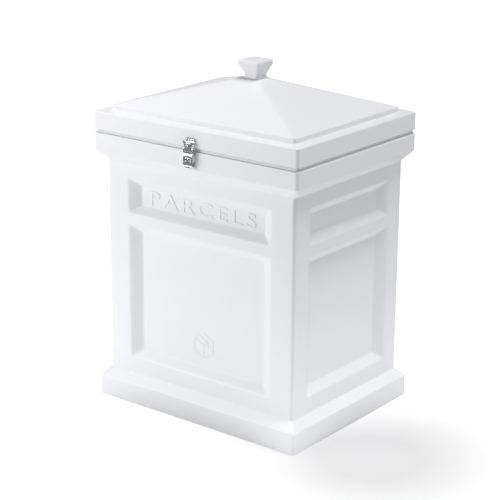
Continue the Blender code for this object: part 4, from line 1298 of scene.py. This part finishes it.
# value that rises along a direction
def slope(tree, vector, direction, low, high, fromLow, fromHigh):
    along = addNode(tree, "ShaderNodeVectorMath", "Value", {0: vector, 1: direction}, operation="DOT_PRODUCT")
    return spread(tree, along, low, high, fromLow, fromHigh)


def distanceFrom(tree, vector, point):
    return addNode(tree, "ShaderNodeVectorMath", "Value", {0: vector, 1: point}, operation="DISTANCE")


def placeWorld():
    world = bpy.data.worlds.new("studioWorld")
    world.use_nodes = True
    tree = world.node_tree
    tree.nodes.clear()
    coords = addNode(tree, "ShaderNodeTexCoord", "Generated")
    sky = slope(tree, coords, studio["skyDirection"], *studio["skyInChrome"], 0.12, 0.50)
    room = slope(tree, coords, studio["roomDirection"], *studio["world"], -0.9, 0.7)
    lit = mixByRay(tree, "Is Glossy Ray", background(tree, studio["coolness"], room),
                   background(tree, (0.97, 0.98, 1.0), sky))
    shown = mixByRay(tree, "Is Camera Ray", lit, background(tree, (1, 1, 1), studio["backdrop"]))
    feed(tree, tree.nodes.new("ShaderNodeOutputWorld"), {"Surface": shown})
    bpy.context.scene.world = world


# light that the floor throws back, by distance from the box
def floorBounce(tree, coords):
    farthest = studio["bounce"][-1][0]
    curveScale = 4      # the curve is drawn at a quarter of its height
    away = spread(tree, distanceFrom(tree, coords, (0, 0, 0)), 0, 1, 0, farthest)
    node = tree.nodes.new("ShaderNodeFloatCurve")
    node.mapping.clip_max_y = curveScale
    points = node.mapping.curves[0].points
    for _ in studio["bounce"][2:]:
        points.new(0.5, 0.5)
    for point, (distance, level) in zip(points, studio["bounce"]):
        point.location = (distance / farthest, level / curveScale)
        point.handle_type = "VECTOR"
    node.mapping.update()
    feed(tree, node, {"Value": away})
    return addNode(tree, "ShaderNodeMath", "Value", {0: node.outputs["Value"], 1: curveScale},
                   operation="MULTIPLY")


def placeFloor():
    builder = bmesh.new()
    bmesh.ops.create_grid(builder, x_segments=8, y_segments=8, size=studio["floorSize"] / 2)
    mesh = bpy.data.meshes.new("studioFloor")
    builder.to_mesh(mesh)
    builder.free()
    material, tree, shader = newMaterial("floorPaper")
    coords = addNode(tree, "ShaderNodeTexCoord", "Object")
    # painted shadow: the floor's glow is dimmed around a point beside the box
    shade = distanceFrom(tree, coords, studio["shadeCentre"])
    glow = addNode(tree, "ShaderNodeMix", "Result", {
        "Factor": addNode(tree, "ShaderNodeLightPath", "Is Diffuse Ray"),
        "A": spread(tree, shade, *studio["floorGlow"], *studio["shadeReach"]),
        "B": floorBounce(tree, coords),
    })
    feed(tree, shader, {
        "Base Color": (*studio["floorColour"], 1),
        "Roughness": 0.9,
        "Emission Color": (1, 1, 1, 1),
        "Emission Strength": glow,
    })
    pale = slope(tree, coords, (-0.5, -0.8, 0), *studio["floorInChrome"], 0.2, 1.6)
    glimpse = addNode(tree, "ShaderNodeEmission", "Emission", {"Strength": pale})
    shown = mixByRay(tree, "Is Glossy Ray", shader.outputs["BSDF"], glimpse)
    feed(tree, tree.nodes["Material Output"], {"Surface": shown})
    floor = addObject("studioFloor", mesh, material)
    floor.location.z = -0.0003      # just under the plinth


def addLight(name, kind, direction, place, **settings):
    data = bpy.data.lights.new(name, kind)
    for key, value in settings.items():
        setattr(data, key, value)
    light = linked(bpy.data.objects.new(name, data))
    light.location = place
    light.rotation_euler = direction.to_track_quat("Z", "Y").to_euler()


def placeLights():
    for name, (direction, strength, spreadDegrees) in studio["suns"].items():
        direction = Vector(direction)
        addLight(name, "SUN", direction, direction.normalized() * 4,
                 energy=strength, angle=math.radians(spreadDegrees))
    direction = Vector(studio["keyDirection"]).normalized()
    place = Vector(studio["keyTarget"]) + direction * studio["keyDistance"]
    addLight("keyLight", "AREA", direction, place, size=studio["keySize"], energy=studio["keyPower"])


placeCamera()
placeFloor()
placeLights()
placeWorld()
bpy.context.scene.view_settings.view_transform = "Standard"
print("studio placed")
